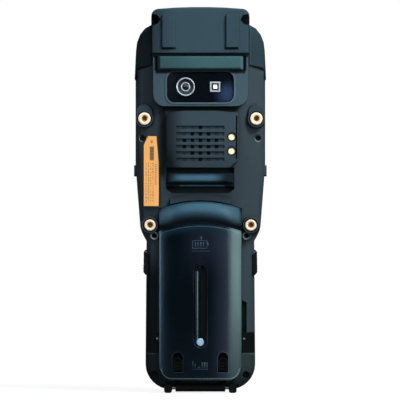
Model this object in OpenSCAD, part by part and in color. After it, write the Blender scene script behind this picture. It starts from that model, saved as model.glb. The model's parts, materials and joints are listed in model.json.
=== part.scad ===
// Portable barcode data terminal, standing upright on its lower end.
// Millimetres. +Z runs up the length, the battery side faces -Y and the keypad side faces +Y.
// The origin lies on the standing plane, in the middle of the width and of the depth.

/* [Lengths, from the standing plane upwards] */
// Height of the battery's lower end
battery_z = 6.9; // [6.5:0.1:9]
// Length of the battery, to the middle of its arched upper end
battery_len = 94.4; // [88:0.2:104]
// Length of the strap well between the battery and the speaker panel
strap_zone = 18.0; // [17:0.1:20]
// Height of the speaker panel
speaker_h = 29.9; // [28:0.1:34]
// Gap between the speaker panel and the camera frame
frame_gap = 2.5; // [1.5:0.1:5]
// How far the camera frame reaches down from the outer end of the cap's seam
frame_drop = 14.3; // [13.6:0.1:17]
// Length of the scan head's cap above the outer end of its seam
cap_len = 38.0; // [36:0.2:44]

/* [Widths] */
// Half of the battery's width
battery_half = 21.7; // [20:0.1:24]
// Width of the grip on each side of the battery
grip_side = 7.4; // [7.2:0.1:8.2]
// How much wider the head is than the grip, on each side
head_flare = 5.3; // [4.8:0.1:7]
// Width of the cap's shoulder beside its middle block
cap_shoulder = 8.4; // [7.6:0.1:9]
// How far the cap stands proud of the housing at its seam
cap_proud = 0.5; // [0.3:0.1:0.8]
// Radius of the grip's lower corners
corner_r = 13.5; // [13.2:0.1:14.5]

/* [Depths] */
// Whole depth, from the battery's roll to the lip of the scan head
total_depth = 35.0; // [34.6:0.2:38]
// Height of the battery's roll over the housing's back face
roll_proud = 6.0; // [5.6:0.1:6.4]
// Height of the camera frame over the back face
frame_proud = 3.5; // [3:0.1:4]
// Height of the visor over the camera frame
visor_proud = 2.0; // [1.2:0.1:2.4]
// Height of the speaker panel over the back face
speaker_proud = 3.1; // [2.8:0.1:3.4]
// How far the front lip of the scan head stands over the keypad face
lip_proud = 1.5; // [1:0.1:2]
// Wall of the housings and of the cap
wall = 2.0; // [1.6:0.1:2.2]
// Width of the sloping strip along each back edge
slope_w = 8.0; // [7:0.1:8.4]
// Drop of the sloping strip
slope_drop = 2.9; // [2.4:0.1:3.2]

/* [Camera and scan window] */
// Half of the camera window's width
window_half = 17.6; // [16.5:0.1:18.5]
// Height of the camera window
window_h = 16.0; // [15:0.1:16.4]
// Outer radius of the lens ring
lens_ring_r = 4.9; // [4.2:0.1:5.2]
// Side of the square flash frame
flash_side = 5.4; // [4.6:0.1:6]
// Distance of the lens and the flash from the middle line
eye_x = 7.8; // [7:0.1:9]
// Width of the scan window in the upper end
scan_w = 32; // [28:0.5:36]
// Depth of the scan window
scan_d = 15; // [13:0.5:17]

/* [Fasteners] */
// Outer radius of the upper threaded inserts
insert_r = 3.3; // [3:0.1:3.4]
// Outer radius of the lower threaded inserts
low_insert_r = 3.0; // [2.8:0.1:3.2]
// Radius of the inserts' threaded holes
thread_r = 1.25; // [1:0.05:1.5]
// Depth of the inserts
insert_len = 6.5; // [5:0.1:7]
// Radius of the housing screws' shanks
screw_r = 1.0; // [0.8:0.05:1.1]
// Radius of the housing screws' heads
screw_head_r = 1.9; // [1.6:0.05:2]
// Radius of the connector cover's hinge pin
hinge_pin_r = 0.8; // [0.6:0.05:0.95]
// Radius of the side covers' hinge pins
side_pin_r = 0.55; // [0.4:0.05:0.65]

/* [Keys] */
// Width of a number key
key_w = 12.4; // [11:0.1:13]
// Height of a number key
key_h = 6.6; // [6:0.1:7]
// Distance between key columns
key_pitch_x = 15.4; // [15.2:0.1:15.8]
// Distance between key rows
key_pitch_z = 9.2; // [9.1:0.05:9.5]
// Travel of every key
key_travel = 0.7; // [0.4:0.05:0.8]
// How far the number keys stand out of the keypad face
key_proud = 1.2; // [0.9:0.1:1.4]
// Height of the side keys
side_key_h = 6.0; // [5:0.1:8]
// How far the side keys stand out of the sides
side_key_proud = 1.0; // [0.8:0.1:1.4]

/* [Display] */
// Width of the housing on each side of the cover glass
glass_margin = 6.0; // [5.4:0.1:7.4]
// Height of the cover glass
glass_h = 80.0; // [70:0.5:82]

/* [Fits] */
// Clearance around parts that lift or slide out
loose = 0.35; // [0.3:0.01:0.4]
// Clearance between fixed parts that lie side by side
snug = 0.1; // [0.05:0.01:0.2]
// Radial running clearance of the hinge pins
running = 0.05; // [0.03:0.01:0.1]

/* [Hidden] */
$fn = 48;

// Widths
grip_half = battery_half + grip_side;
head_half = grip_half + head_flare;
block_half = head_half - cap_shoulder;
glass_half = head_half - glass_margin;
module_half = glass_half - 1.2;
frame_half = block_half - 1.1;
frame_corner_r = 6;
window_corner_r = 3.8;
rim_w = 0.9;
rim_proud = 0.35;
visor_half = frame_half - 2.2;
visor_bevel = 1.5;

ROWS = ["7", "8", "9", "4", "5", "6", "1", "2", "3", "left", "0", "right"];

// Beyond the part on every side
far_x = 50;
far_y = 40;

// Heights
battery_top = battery_z + battery_len;
speaker_z = battery_top + strap_zone;
speaker_top = speaker_z + speaker_h;
frame_z = speaker_top + frame_gap;
seam_z = frame_z + frame_drop;
total_len = seam_z + cap_len;
base_z = 1.6;
glass_z = seam_z + 3 - glass_h;
waist_z = glass_z - 8.7;
seam_rise = 7.2;
side_lip = 0.75;
side_lip_h = 4.7;
block_z = seam_z + 13.3;
visor_z = seam_z + 5;
bumper_z = base_z + 18.9;
skirt_z = base_z + 3.4;
seam_gap = 0.1;

// Depths
roll_y = -total_depth / 2;
lip_y = total_depth / 2;
back_y = roll_y + roll_proud;
crest_y = roll_y + 1.5;
frame_y = back_y - frame_proud;
visor_y = frame_y - visor_proud;
speaker_y = back_y - speaker_proud;
block_back_y = roll_y + 1.3;
face_y = lip_y - lip_proud;
part_y = 2.5;
inner_face_y = face_y - wall;

// The housing's section: how far the outline is drawn in at each depth
edge_in = 4.6;
edge_rise = 6.6;
front_in = 3.4;
front_rise = 5;
edge_y = back_y + slope_drop;
slope_a = atan(slope_drop / slope_w);
waist_in = 0.5;
shoulder_half = head_half - 2.3;
shoulder_r = 14;
shoulder_rise = 10;
flare_rise = 40;

// Cap
wing_half = head_half + cap_proud;
shoulder_cx = wing_half - 10.9;
shoulder_cz = total_len - 23;
crown_r = 4;
crown_drop = 0.9;
pad_w = 6.6;
pad_x = 16.9;
pad_z = total_len - 21.4;
pad_h = 17.7;
pad_proud = 1.2;
notch_depth = 5;
notch_wall = 1.2;
cap_in_y = lip_y - wall - 1;

// Battery bay and battery
bay_y = -2.0;
floor_t = 1.6;
battery_y = bay_y - 0.3;
arch_sag = 3.9;
arch_r = (pow(battery_half, 2) + pow(arch_sag, 2)) / (2 * arch_sag);
arch_z = battery_top - arch_r;
battery_corner_r = 7.4;
side_sag = 4.5;
section_r = (pow(battery_half, 2) + pow(side_sag, 2)) / (2 * side_sag);
roll_w = 11.8;
valley_drop = 0.9;
roll_edge = 1.6;
battery_wall = 1.5;
cavity_y = crest_y + battery_wall + 3.8;
base_t = 1.2;
groove_half = 3.7;
groove_depth = 2.2;
groove_z0 = battery_z + 16.5;
groove_z1 = battery_z + 61.5;
lens_dot_r = 2.1;

// Latches
latch_x = 12.0;
latch_w = 4.8;
latch_h = 7.5;
latch_z = battery_z + 4.5;
latch_rim = 0.8;
latch_travel = 2.4;
latch_in_y = -5.5;
latch_y = crest_y + 1.3;
tongue_w = 3.0;
tongue_t = 1.6;
tongue_reach = 1.3;
latch_pocket_x = latch_w / 2 + loose;

// Fasteners
collar_gap = 0.6;
collar_depth = 1;
boss_r = insert_r + 1.2;
low_boss_r = low_insert_r + 1.1;
boss_flare = 1.2;
boss_len = insert_len + 2;
upper_x = head_half - 4.8;
upper_z = frame_z - 6.6;
lower_x = grip_half - 2.4;
lower_z = waist_z + 8.5;
boss_y = back_y - 1.0;
post_r = 2.6;
screw_seat_y = -5.2;
screw_end_y = inner_face_y - 2.6;
SCREWS = [[head_half - 3.8, upper_z - 10.3], [grip_half - 4.7, waist_z + 2.9], [grip_half - 4.8, base_z + 8]];

// Strap well
well_half = 18;
well_z = battery_top + 4.4;
well_y = back_y + 4;
bar_z = speaker_z - 9.3;
bar_h = 6.3;
bar_half = 15;
bar_flat = 11;
bar_end = well_half - 0.15;
bar_top_y = back_y - 3.4;
bar_in_y = back_y + 0.9;

// Speaker panel, slightly off the middle line
panel_x0 = -17.8;
panel_x1 = 20;
slot_pitch_z = 3.38;
slot_pitch_x = 4.24;
slot_z0 = speaker_z + 4.2;
slot_half = 12.7;
slot_h = 1.9;
slot_depth = 0.8;
hole_half = 1.0;
// How many holes of each row are pierced
DIAMOND = [1, 3, 5, 5, 3, 1];
contact_r = 1.75;
contact_x = 16.5;
contact_z0 = speaker_z + 8.6;
contact_pitch = 7.4;
driver_half = 12;
driver_z0 = speaker_z + 2.2;
driver_z1 = speaker_z + 23;

// Boards and display
board_y = face_y - 8;
board_t = 1.2;
board_half = grip_half - 7.6;
board_head_half = head_half - 7.6;
board_top = seam_z - 6;
board_neck_z = waist_z + 9.5;
module_y = board_y + board_t + 0.3;
mat_y = module_y;
mat_top_y = face_y - 5.0;
dome_h = 0.9;
glass_t = 1.5;
glass_y = face_y - 0.1;

// Keys
flange_t = 0.8;
flange_lip = 0.8;
flange_y = inner_face_y - 0.2;
key_gap = 0.3;
scan_key_z = waist_z - 6.8;
scan_key_w = 19;
scan_key_h = 10;
rocker_z = scan_key_z - 15.2;
key_z0 = rocker_z - 13.3 - 3 * key_pitch_z;
// The shielded chips: left and right side, height over the board, lower and upper end
CHIPS = [[-18, 18, 3.2, board_neck_z + 36.5, board_top - 4],
    [-15, 3, 2.4, board_neck_z + 2.5, board_neck_z + 30.5],
    [-12, 12, 2, key_z0 + 14.2, key_z0 + 39.2]];
rocker_w = 14;
rocker_h = 13.4;
rocker_a = 2.5;
rocker_y = inner_face_y;
rocker_drop = (rocker_h / 2 + 0.8) * sin(rocker_a) + 0.1;

// Side keys and side covers
side_key_z = waist_z + 37.3;
side_key_d = 9;
side_key_y = 2;
side_travel = 0.8;
side_inner = head_half - wall - 0.35;
side_flange_x = side_inner - 0.7;
side_flange_t = 0.9;
cover_z0 = waist_z - 18.3;
cover_z1 = waist_z - 4.3;
cover_y0 = -1;
cover_y1 = 9;
cover_lip_y = -6.5;
cover_t = 2.5;
cover_out = 1.0;
cover_pin_x = grip_half + cover_out - 1.4;
cover_pin_z = cover_z1 - 1.4;
recess_x = grip_half + cover_out - cover_t - 0.3;
cover_lip_z = cover_pin_z - 1.5;
port_z = (cover_z0 + cover_z1) / 2;
port_y = board_y - 2.2;

// Connector cover at the lower end
rib_x = 17.1;
rib_w = 4.2;
rib_top = 4.6;
rib_y0 = -10.8;
rib_y1 = 9.5;
barrel_y = back_y + 2.9;
barrel_z = 2.6;
barrel_r = 1.9;
flap_half = rib_x - rib_w / 2 - 1.8;
flap_z0 = 0.4;
flap_y1 = 8.0;
slot_y0 = 2.8;
slot_y1 = 6.0;
slot_w_half = 11;

// ---------- shared outlines and helpers ----------

function arc(cx, cz, r, a0, a1, n) =
    [for (i = [0:n]) let (a = a0 + (a1 - a0) * i / n) [cx + r * cos(a), cz + r * sin(a)]];
function mirrored(pts) = concat(pts, [for (i = [len(pts) - 1:-1:0]) [-pts[i][0], pts[i][1]]]);
function rounded(x0, x1, z0, z1, r, n = 4) = concat(
    arc(x1 - r, z0 + r, r, -90, 0, n), arc(x1 - r, z1 - r, r, 0, 90, n),
    arc(x0 + r, z1 - r, r, 90, 180, n), arc(x0 + r, z0 + r, r, 180, 270, n));
function side_normal(p, q) = let (v = q - p) [v[1], -v[0]] / norm(v);
// A closed outline, counter-clockwise, drawn in by d
function inset(pts, d) = [for (i = [0:len(pts) - 1]) let (
    p = pts[i],
    a = side_normal(pts[(i + len(pts) - 1) % len(pts)], p),
    b = side_normal(p, pts[(i + 1) % len(pts)])) p - d * (a + b) / (1 + a * b)];
// The inner side of a wall of thickness t, for a section profile of [inset, y]
function inner_profile(prof, t) = let (
    n = len(prof), ext = concat([prof[0] + [9, 0]], prof, [prof[n - 1] + [9, 0]]))
    [for (i = [1:n]) let (
        a = side_normal(ext[i - 1], ext[i]),
        b = side_normal(ext[i], ext[i + 1])) ext[i] + t * (a + b) / (1 + a * b)];
// A quarter of an ellipse between a side and a face
function edge_back(in, y, rise) = [for (a = [90:-30:0]) [in * (1 - cos(a)), y - rise * sin(a)]];
function edge_front(in, y, rise) = [for (a = [0:30:90]) [in * (1 - cos(a)), y + rise * sin(a)]];

function body_outline() = mirrored(concat(
    arc(grip_half - corner_r, base_z + corner_r, corner_r, -90, 0, 8),
    [[grip_half - waist_in, waist_z]],
    arc(shoulder_half - shoulder_r, waist_z + shoulder_rise, shoulder_r, -30, 0, 3),
    [[head_half, waist_z + flare_rise], [head_half, total_len - 8]]));
function body_profile() = concat(
    [[edge_in + slope_w, back_y]],
    edge_back(edge_in, edge_y + edge_rise, edge_rise),
    edge_front(front_in, face_y - front_rise, front_rise));
function cap_outline() = mirrored(concat(
    [[wing_half, seam_z - 12], [wing_half, seam_z]],
    [for (a = [0:19.5:78]) [shoulder_cx + 10.2 * cos(a), shoulder_cz + 14.3 * sin(a)]],
    [[block_half - 6, shoulder_cz + 15.2]]));
function cap_profile() = concat(
    [[9, edge_y - cap_proud - (9 - edge_in) * slope_drop / slope_w]],
    edge_back(edge_in, edge_y + edge_rise - cap_proud, edge_rise),
    edge_front(front_in, face_y - front_rise + cap_proud, front_rise));
function block_outline() = mirrored(concat(
    [[block_half, block_z]],
    arc(block_half - crown_r, total_len - crown_drop - crown_r, crown_r, 0, 80, 5),
    [[block_half / 2, total_len - crown_drop * 0.3], [block_half / 6, total_len]]));
// The pocket in each upper corner of the middle block, open outwards
function notch_outline() = [
    [block_half + 1, total_len - 3.7], [block_half - 3.2, total_len - 4], [block_half - 5, total_len - 6.6],
    [block_half - 3.6, total_len - 8.7], [block_half + 1, total_len - 10.6]];
function bay_outline(d) = mirrored(concat(
    arc(battery_half + d - battery_corner_r - d, battery_z + battery_corner_r,
        battery_corner_r + d, -90, 0, 6),
    [for (i = [5:-1:0]) let (x = (battery_half + d) * (i + 0.5) / 5.5)
        [x, arch_z + sqrt(pow(arch_r + d, 2) - x * x)]]));
// The cap's seam on the +X side: round the thin lip at the side, along the shoulder and up the block
function seam_line(h) = [[far_x, seam_z + h], [wing_half - side_lip + h, seam_z + h],
    [wing_half - side_lip + h, seam_z + side_lip_h + h], [block_half + h, seam_z + seam_rise + h],
    [block_half + h, block_z + h]];

module along_y(y0, y1) translate([0, y1, 0]) rotate([90, 0, 0]) linear_extrude(y1 - y0) children();
module along_x(x0, x1) translate([x0, 0, 0]) rotate([90, 0, 90]) linear_extrude(x1 - x0) children();
module along_z(z0, z1) translate([0, 0, z0]) linear_extrude(z1 - z0) children();
module pin_y(x, z, r, y0, y1) translate([x, y1, z]) rotate([90, 0, 0]) cylinder(r = r, h = y1 - y0);
module pin_x(y, z, r, x0, x1) translate([x0, y, z]) rotate([0, 90, 0]) cylinder(r = r, h = x1 - x0);
module block(x0, x1, y0, y1, z0, z1) translate([x0, y0, z0]) cube([x1 - x0, y1 - y0, z1 - z0]);
module both() {
    children();
    mirror([1, 0, 0]) children();
}
// A body lofted through copies of one outline, each drawn in and set at its own depth
module loft(outline, prof) {
    rings = [for (p = prof) inset(outline, p[0])];
    n = len(outline);
    m = len(prof);
    polyhedron(
        [for (k = [0:m - 1]) for (p = rings[k]) [p[0], prof[k][1], p[1]]],
        concat([[for (i = [n - 1:-1:0]) i], [for (i = [0:n - 1]) (m - 1) * n + i]],
            [for (k = [0:m - 2]) for (i = [0:n - 1]) let (j = (i + 1) % n, a = k * n, b = a + n)
                each [[a + i, a + j, b + j], [a + i, b + j, b + i]]]));
}

// ---------- the housing as one body, before it is parted ----------

module body_outer() loft(body_outline(), body_profile());
// The hollow, drawn on into the keypad face's plate so that the plate alone ends it
module body_inner() let (prof = inner_profile(body_profile(), wall), end = prof[len(prof) - 1])
    loft(body_outline(), concat(prof, [end + [0, wall / 4]]));
module shell() {
    difference() {
        body_outer();
        body_inner();
    }
    intersection() {
        body_outer();
        block(-50, 50, inner_face_y, lip_y, -1, total_len);
    }
}
// Below the cap's seam
module under_seam() along_y(-far_y, far_y) polygon(mirrored(concat([[far_x, -9]], seam_line(-seam_gap / 2))));
module over_seam() let (line = seam_line(seam_gap / 2)) along_y(-far_y, far_y) polygon(mirrored(concat(
    [for (i = [len(line) - 1:-1:0]) line[i]], [[far_x, total_len + 9]])));
module tub() intersection() {
    body_outer();
    along_y(back_y - 1, bay_y + floor_t) polygon(bay_outline(loose + floor_t));
}
module nail_block() intersection() {
    body_outer();
    block(battery_half, battery_half + 4.9, back_y, back_y + 7.4, battery_z + 23, battery_z + 44.5);
}
module back_posts() intersection() {
    body_outer();
    for (p = SCREWS) both() pin_y(p[0], p[1], post_r, back_y, part_y);
}
module port_blocks() intersection() {
    body_outer();
    both() block(recess_x - 2.4, grip_half, cover_lip_y - 2, cover_y1 + 2, cover_z0 - 2, cover_z1 + 2);
}
// A boss that widens towards its foot
module boss(x, y, z, r) translate([x, y + boss_len, z]) rotate([90, 0, 0])
    cylinder(r1 = r + boss_flare, r2 = r, h = boss_len);
module insert_bosses() intersection() {
    along_y(boss_y, boss_y + boss_len) polygon(inset(body_outline(), snug));
    for (s = [-1, 1]) {
        boss(s * upper_x, boss_y, upper_z, boss_r);
        boss(s * upper_x, boss_y + 0.6, upper_z + 3.2, boss_r - 0.4);
        boss(s * lower_x, boss_y, lower_z, low_boss_r);
    }
}
module strap_tub() intersection() {
    body_outer();
    block(-well_half - 2, well_half + 2, back_y, well_y + 1.6, well_z - 2, speaker_z + 2);
}

module bay() along_y(back_y - 8, bay_y) polygon(bay_outline(loose));
module screw_holes() for (p = SCREWS) both() {
    pin_y(p[0], p[1], screw_head_r + 0.15, back_y - 2, screw_seat_y);
    pin_y(p[0], p[1], screw_r + 0.2, screw_seat_y - 1, part_y + 1);
}
module insert_holes() for (s = [-1, 1]) {
    pin_y(s * upper_x, upper_z, insert_r + 0.02, boss_y - 1, boss_y + insert_len);
    pin_y(s * upper_x, upper_z, insert_r + collar_gap, boss_y - 1, boss_y + collar_depth);
    pin_y(s * lower_x, lower_z, low_insert_r + 0.02, boss_y - 1, boss_y + insert_len);
    pin_y(s * lower_x, lower_z, low_insert_r + collar_gap, boss_y - 1, boss_y + collar_depth);
}
module strap_well() {
    along_y(back_y - 3, well_y) polygon([
        [-bar_half, well_z], [bar_half, well_z], [well_half, well_z + 2.2],
        [well_half, speaker_z], [-well_half, speaker_z], [-well_half, well_z + 2.2]]);
    both() block(well_half - 1, well_half + 1, back_y + 0.1, back_y + 3.4, bar_z + 0.9, bar_z + bar_h - 0.9);
}
module speaker_hole() block(-driver_half - 0.3, driver_half + 0.3, back_y - 1, back_y + wall + 1,
    driver_z0 - 0.3, driver_z1 + 0.3);
module contact_holes(r) for (k = [0, 1])
    pin_y(contact_x, contact_z0 + k * contact_pitch, r, speaker_y - 1, back_y + wall + 1);
module nail_slot() along_y(back_y - 2, back_y + 5.6) polygon([
    [battery_half, battery_z + 25.2], [battery_half + 2.8, battery_z + 25.2],
    [battery_half + 2.8, battery_z + 41], [battery_half, battery_z + 42.4]]);
module side_key_holes(gap) both() block(head_half - wall - 3, head_half + 2,
    side_key_y - side_key_d / 2 - gap, side_key_y + side_key_d / 2 + gap,
    side_key_z - side_key_h / 2 - gap, side_key_z + side_key_h / 2 + gap);
module cover_recesses() both() {
    block(recess_x, grip_half + 2, cover_y0 - 0.3, cover_y1 + 0.3, cover_z0 - 0.4, cover_z1 + 0.3);
    block(recess_x, grip_half + 2, cover_lip_y - 0.3, cover_y0, cover_z0 - 0.4, cover_lip_z + 0.3);
    pin_y(cover_pin_x, cover_pin_z, side_pin_r + 0.02, cover_y0 - 1.6, cover_y1 + 1.6);
}
module socket_holes() {
    block(recess_x - 3, recess_x + 1, port_y - 1.8, port_y + 1.8, port_z - 4.4, port_z + 4.4);
    pin_x(port_y, port_z, 2.9, -recess_x - 1, -recess_x + 3);
}
module seal_groove(gap) difference() {
    along_y(part_y - 0.6 - gap, part_y + 0.6 + gap) polygon(inset(body_outline(), 0.6 - gap));
    along_y(part_y - 2, part_y + 2) polygon(inset(body_outline(), 1.4 + gap));
}
module cable_slot() block(-slot_w_half, slot_w_half, slot_y0, slot_y1, -1, base_z + wall + 1);
module ribs() for (s = [-1, 1]) along_y(rib_y0, rib_y1)
    polygon(rounded(s * rib_x - rib_w / 2, s * rib_x + rib_w / 2, 0, rib_top, 1.3));
module whole_shell() difference() {
    union() {
        shell();
        tub();
        nail_block();
        back_posts();
        port_blocks();
    }
    bay();
    nail_slot();
    screw_holes();
    seal_groove(0.05);
    latch_notches();
}
module latch_notches() both() block(latch_x - tongue_w / 2 - loose, latch_x + tongue_w / 2 + loose,
    back_y - 2, latch_in_y + loose, battery_z - tongue_reach - loose, battery_z + 1);

// ---------- housings ----------

module back_housing() color("#18222a") difference() {
    intersection() {
        union() {
            whole_shell();
            strap_tub();
            insert_bosses();
            brow();
            label_seat();
        }
        under_seam();
        block(-50, 50, -40, part_y, bumper_z + seam_gap / 2, total_len);
    }
    bay();
    strap_well();
    insert_holes();
    screw_holes();
    speaker_hole();
    contact_holes(contact_r - 0.4);
    side_key_holes(0.25);
    cover_recesses();
    socket_holes();
    for (x = [-6:4:6]) pin_y(x, contact_row_z, 0.92, bay_y - 1, bay_y + floor_t + 1);
}
contact_row_z = battery_top - 12;
// A low arch above the battery's end
module brow() intersection() {
    along_y(back_y - 1.6, back_y + 0.5) difference() {
        translate([0, arch_z]) circle(r = arch_r + loose + 3.2, $fn = 180);
        translate([0, arch_z]) circle(r = arch_r + loose + 0.3, $fn = 180);
    }
    block(-16, 16, back_y - 3, back_y + 1, battery_top - 6, battery_top + 6);
}
// The flat seat of the label, on the left sloping strip
module on_slope() translate([-(head_half - edge_in), edge_y, 0]) rotate([0, 0, -slope_a]) children();
label_z0 = lower_z + 10.1;
label_h = upper_z - 9.2 - label_z0;
label_w = 8.3;
module label_seat() on_slope() block(-0.3, label_w + 0.3, -0.15, 1.4,
    label_z0 - 0.8, label_z0 + label_h + 0.8);

module front_housing() color("#1c252c") difference() {
    intersection() {
        union() {
            shell();
            intersection() {
                body_outer();
                for (p = SCREWS) both() pin_y(p[0], p[1], post_r, part_y, face_y - 1);
            }
            port_blocks();
        }
        under_seam();
        block(-50, 50, part_y, 40, skirt_z + seam_gap / 2, total_len);
    }
    for (p = SCREWS) both() pin_y(p[0], p[1], screw_r + 0.02, part_y - 1, screw_end_y + 0.2);
    seal_groove(0.05);
    block(-glass_half - snug, glass_half + snug, glass_y - glass_t - 0.1, face_y + 1,
        glass_z - snug, glass_z + glass_h + snug);
    block(-module_half - snug, module_half + snug, inner_face_y - 1, face_y,
        glass_z + 2, glass_z + glass_h - 2);
    key_holes();
    side_key_holes(0.25);
    cover_recesses();
    socket_holes();
    along_y(inner_face_y - 1, face_y + 1) polygon(rounded(-5, 5, seam_z + 6.6, seam_z + 7.8, 0.5));
    for (x = [9, 12.5]) pin_y(x, seam_z + 7.2, 0.85, inner_face_y - 1, face_y + 1);
}

module bottom_bumper() color("#131b21") difference() {
    union() {
        intersection() {
            whole_shell();
            along_x(-50, 50) polygon([
                [-40, -5], [40, -5], [40, skirt_z - seam_gap / 2], [part_y, skirt_z - seam_gap / 2],
                [part_y, bumper_z - seam_gap / 2], [-40, bumper_z - seam_gap / 2]]);
        }
        ribs();
    }
    bay();
    cable_slot();
    pin_x(barrel_y, barrel_z, hinge_pin_r + 0.02, -rib_x - rib_w, rib_x + rib_w);
    pin_x(barrel_y, barrel_z, barrel_r + 0.3, -flap_half - 0.3, flap_half + 0.3);
}

module middle_block() loft(block_outline(), [[1.2, block_back_y], [0.4, block_back_y + 0.4],
    [0, block_back_y + 1.2], [0, lip_y - 1.5], [0.5, lip_y - 0.5], [1.5, lip_y]]);
module head_cap() color("#232f38") difference() {
    union() {
        difference() {
            intersection() {
                union() {
                    difference() {
                        loft(cap_outline(), cap_profile());
                        loft(cap_outline(), inner_profile(cap_profile(), wall));
                    }
                    difference() {
                        middle_block();
                        along_y(block_back_y + wall, cap_in_y) polygon(inset(block_outline(), wall));
                    }
                }
                over_seam();
            }
            cap_hollow();
        }
        intersection() {
            middle_block();
            both() along_y(block_back_y + 0.6, block_back_y + notch_depth + notch_wall)
                polygon(inset(notch_outline(), -notch_wall));
        }
    }
    both() along_y(block_back_y - 1, block_back_y + notch_depth) polygon(notch_outline());
    block(-scan_w / 2 - snug, scan_w / 2 + snug, -scan_d / 2 - snug, scan_d / 2 + snug,
        total_len - 3.2, total_len + 2);
    block(-scan_w / 2 + 1.2, scan_w / 2 - 1.2, -scan_d / 2 + 1.2, scan_d / 2 - 1.2,
        total_len - 9, total_len + 2);
    block(-9, 9, block_back_y + wall, 0, block_z - 3, block_z + 4);
}
module cap_hollow() block(-block_half + wall, block_half - wall, back_y - 1, inner_face_y - 0.5,
    seam_z, total_len - 5.2);

module housing_seal() color("#b9402a") difference() {
    intersection() {
        seal_groove(0);
        under_seam();
    }
    side_key_holes(0.6);
    block(-50, 50, -40, 40, -5, bumper_z + 1);
    both() block(recess_x - 1, grip_half + 2, cover_y0 - 1.8, cover_y1 + 1.8, cover_z0 - 1, cover_z1 + 1);
}

module cap_pads() color("#2b3a44") for (s = [-1, 1])
    along_y(block_back_y - pad_proud, block_back_y) polygon(rounded(
        s * pad_x - pad_w / 2, s * pad_x + pad_w / 2, pad_z, pad_z + pad_h, 0.8));

// ---------- scanner, camera, flash ----------

module scan_window() color("#101418", 0.7) block(-scan_w / 2, scan_w / 2, -scan_d / 2, scan_d / 2,
    total_len - 3.1, total_len - 1.6);

module scan_engine() color("#30363c") difference() {
    union() {
        block(-14, 14, -6, 7, total_len - 20, total_len - 7);
        block(-17, 17, 7, cap_in_y - snug, total_len - 20, total_len - 16);
    }
    translate([0, 0.5, total_len - 12]) cylinder(r = 3.6, h = 9);
    for (x = [-9.5, 9.5]) translate([x, 0.5, total_len - 10]) cylinder(r = 2, h = 9);
}

module window_visor() color("#4a5f69") intersection() {
    along_x(-visor_half, visor_half) polygon([
        [frame_y, visor_z], [frame_y, block_z - 1.3], [visor_y + 0.5, block_z - 1.3],
        [visor_y, block_z - 2.2], [visor_y, visor_z + 0.8], [visor_y + 0.8, visor_z]]);
    along_z(seam_z, block_z) polygon([[-visor_half, frame_y + 1], [-visor_half, frame_y],
        [-visor_half + visor_bevel, visor_y], [visor_half - visor_bevel, visor_y],
        [visor_half, frame_y], [visor_half, frame_y + 1]]);
}

module camera_frame() color("#202c34") difference() {
    union() {
        along_y(frame_y, edge_y) polygon(concat(
            arc(frame_half - frame_corner_r, frame_z + frame_corner_r, frame_corner_r, -90, 0, 5),
            [[frame_half, block_z - seam_gap], [-frame_half, block_z - seam_gap]],
            arc(-frame_half + frame_corner_r, frame_z + frame_corner_r, frame_corner_r, 180, 270, 5)));
        along_y(frame_y - rim_proud, frame_y + 1) polygon(window_shape(rim_w));
    }
    body_outer();
    along_y(frame_y - 1, frame_y + 1.7) polygon(window_shape(snug));
    both() block(visor_half + 0.3, frame_half - 0.6, frame_y - 1, frame_y + 1.6,
        visor_z - 0.8, block_z - 1.2);
    pin_y(-eye_x, eye_z, lens_ring_r - 0.6, frame_y, back_y - 0.4);
    block(eye_x - flash_side / 2, eye_x + flash_side / 2, frame_y, back_y - 0.4,
        eye_z - flash_side / 2, eye_z + flash_side / 2);
}
eye_z = frame_z + 10.2;
// The window's outline, grown by d
function window_shape(d) = rounded(-window_half - d, window_half + d,
    frame_z + 2 - d, frame_z + 2 + window_h + d, window_corner_r + d);

module camera_window() color("#070b14") difference() {
    along_y(frame_y + 0.4, frame_y + 1.6) polygon(window_shape(0));
    pin_y(-eye_x, eye_z, lens_ring_r + 0.05, frame_y, frame_y + 2);
    block(eye_x - flash_side / 2 - 0.05, eye_x + flash_side / 2 + 0.05, frame_y, frame_y + 2,
        eye_z - flash_side / 2 - 0.05, eye_z + flash_side / 2 + 0.05);
}
module camera_ring() color("#b9c0c8") difference() {
    union() {
        pin_y(-eye_x, eye_z, lens_ring_r, frame_y + 0.2, frame_y + 1.65);
        pin_y(-eye_x, eye_z, lens_ring_r - 0.7, frame_y + 0.2, back_y - 0.5);
    }
    pin_y(-eye_x, eye_z, lens_ring_r - 1.3, frame_y - 1, frame_y + 1.8);
    pin_y(-eye_x, eye_z, lens_ring_r - 2.2, frame_y - 1, back_y - 1.2);
}
module camera_lens() color("#1a2030") translate([-eye_x, frame_y + 1.8, eye_z]) rotate([90, 0, 0])
    rotate_extrude($fn = 96) polygon(concat([[0, 0], [lens_ring_r - 1.35, 0]],
        [for (a = [0:18:90]) [(lens_ring_r - 1.35) * cos(a), 0.2 + 1.1 * sin(a)]]));
module flash_led() color("#c8ccd0") difference() {
    block(eye_x - flash_side / 2 + 0.02, eye_x + flash_side / 2 - 0.02, frame_y + 0.25, back_y - 0.5,
        eye_z - flash_side / 2 + 0.02, eye_z + flash_side / 2 - 0.02);
    difference() {
        block(eye_x - 1.9, eye_x + 1.9, frame_y - 1, frame_y + 1.2, eye_z - 1.9, eye_z + 1.9);
        block(eye_x - 1, eye_x + 1, frame_y, frame_y + 2, eye_z - 1, eye_z + 1);
    }
}

// ---------- speaker ----------

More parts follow.
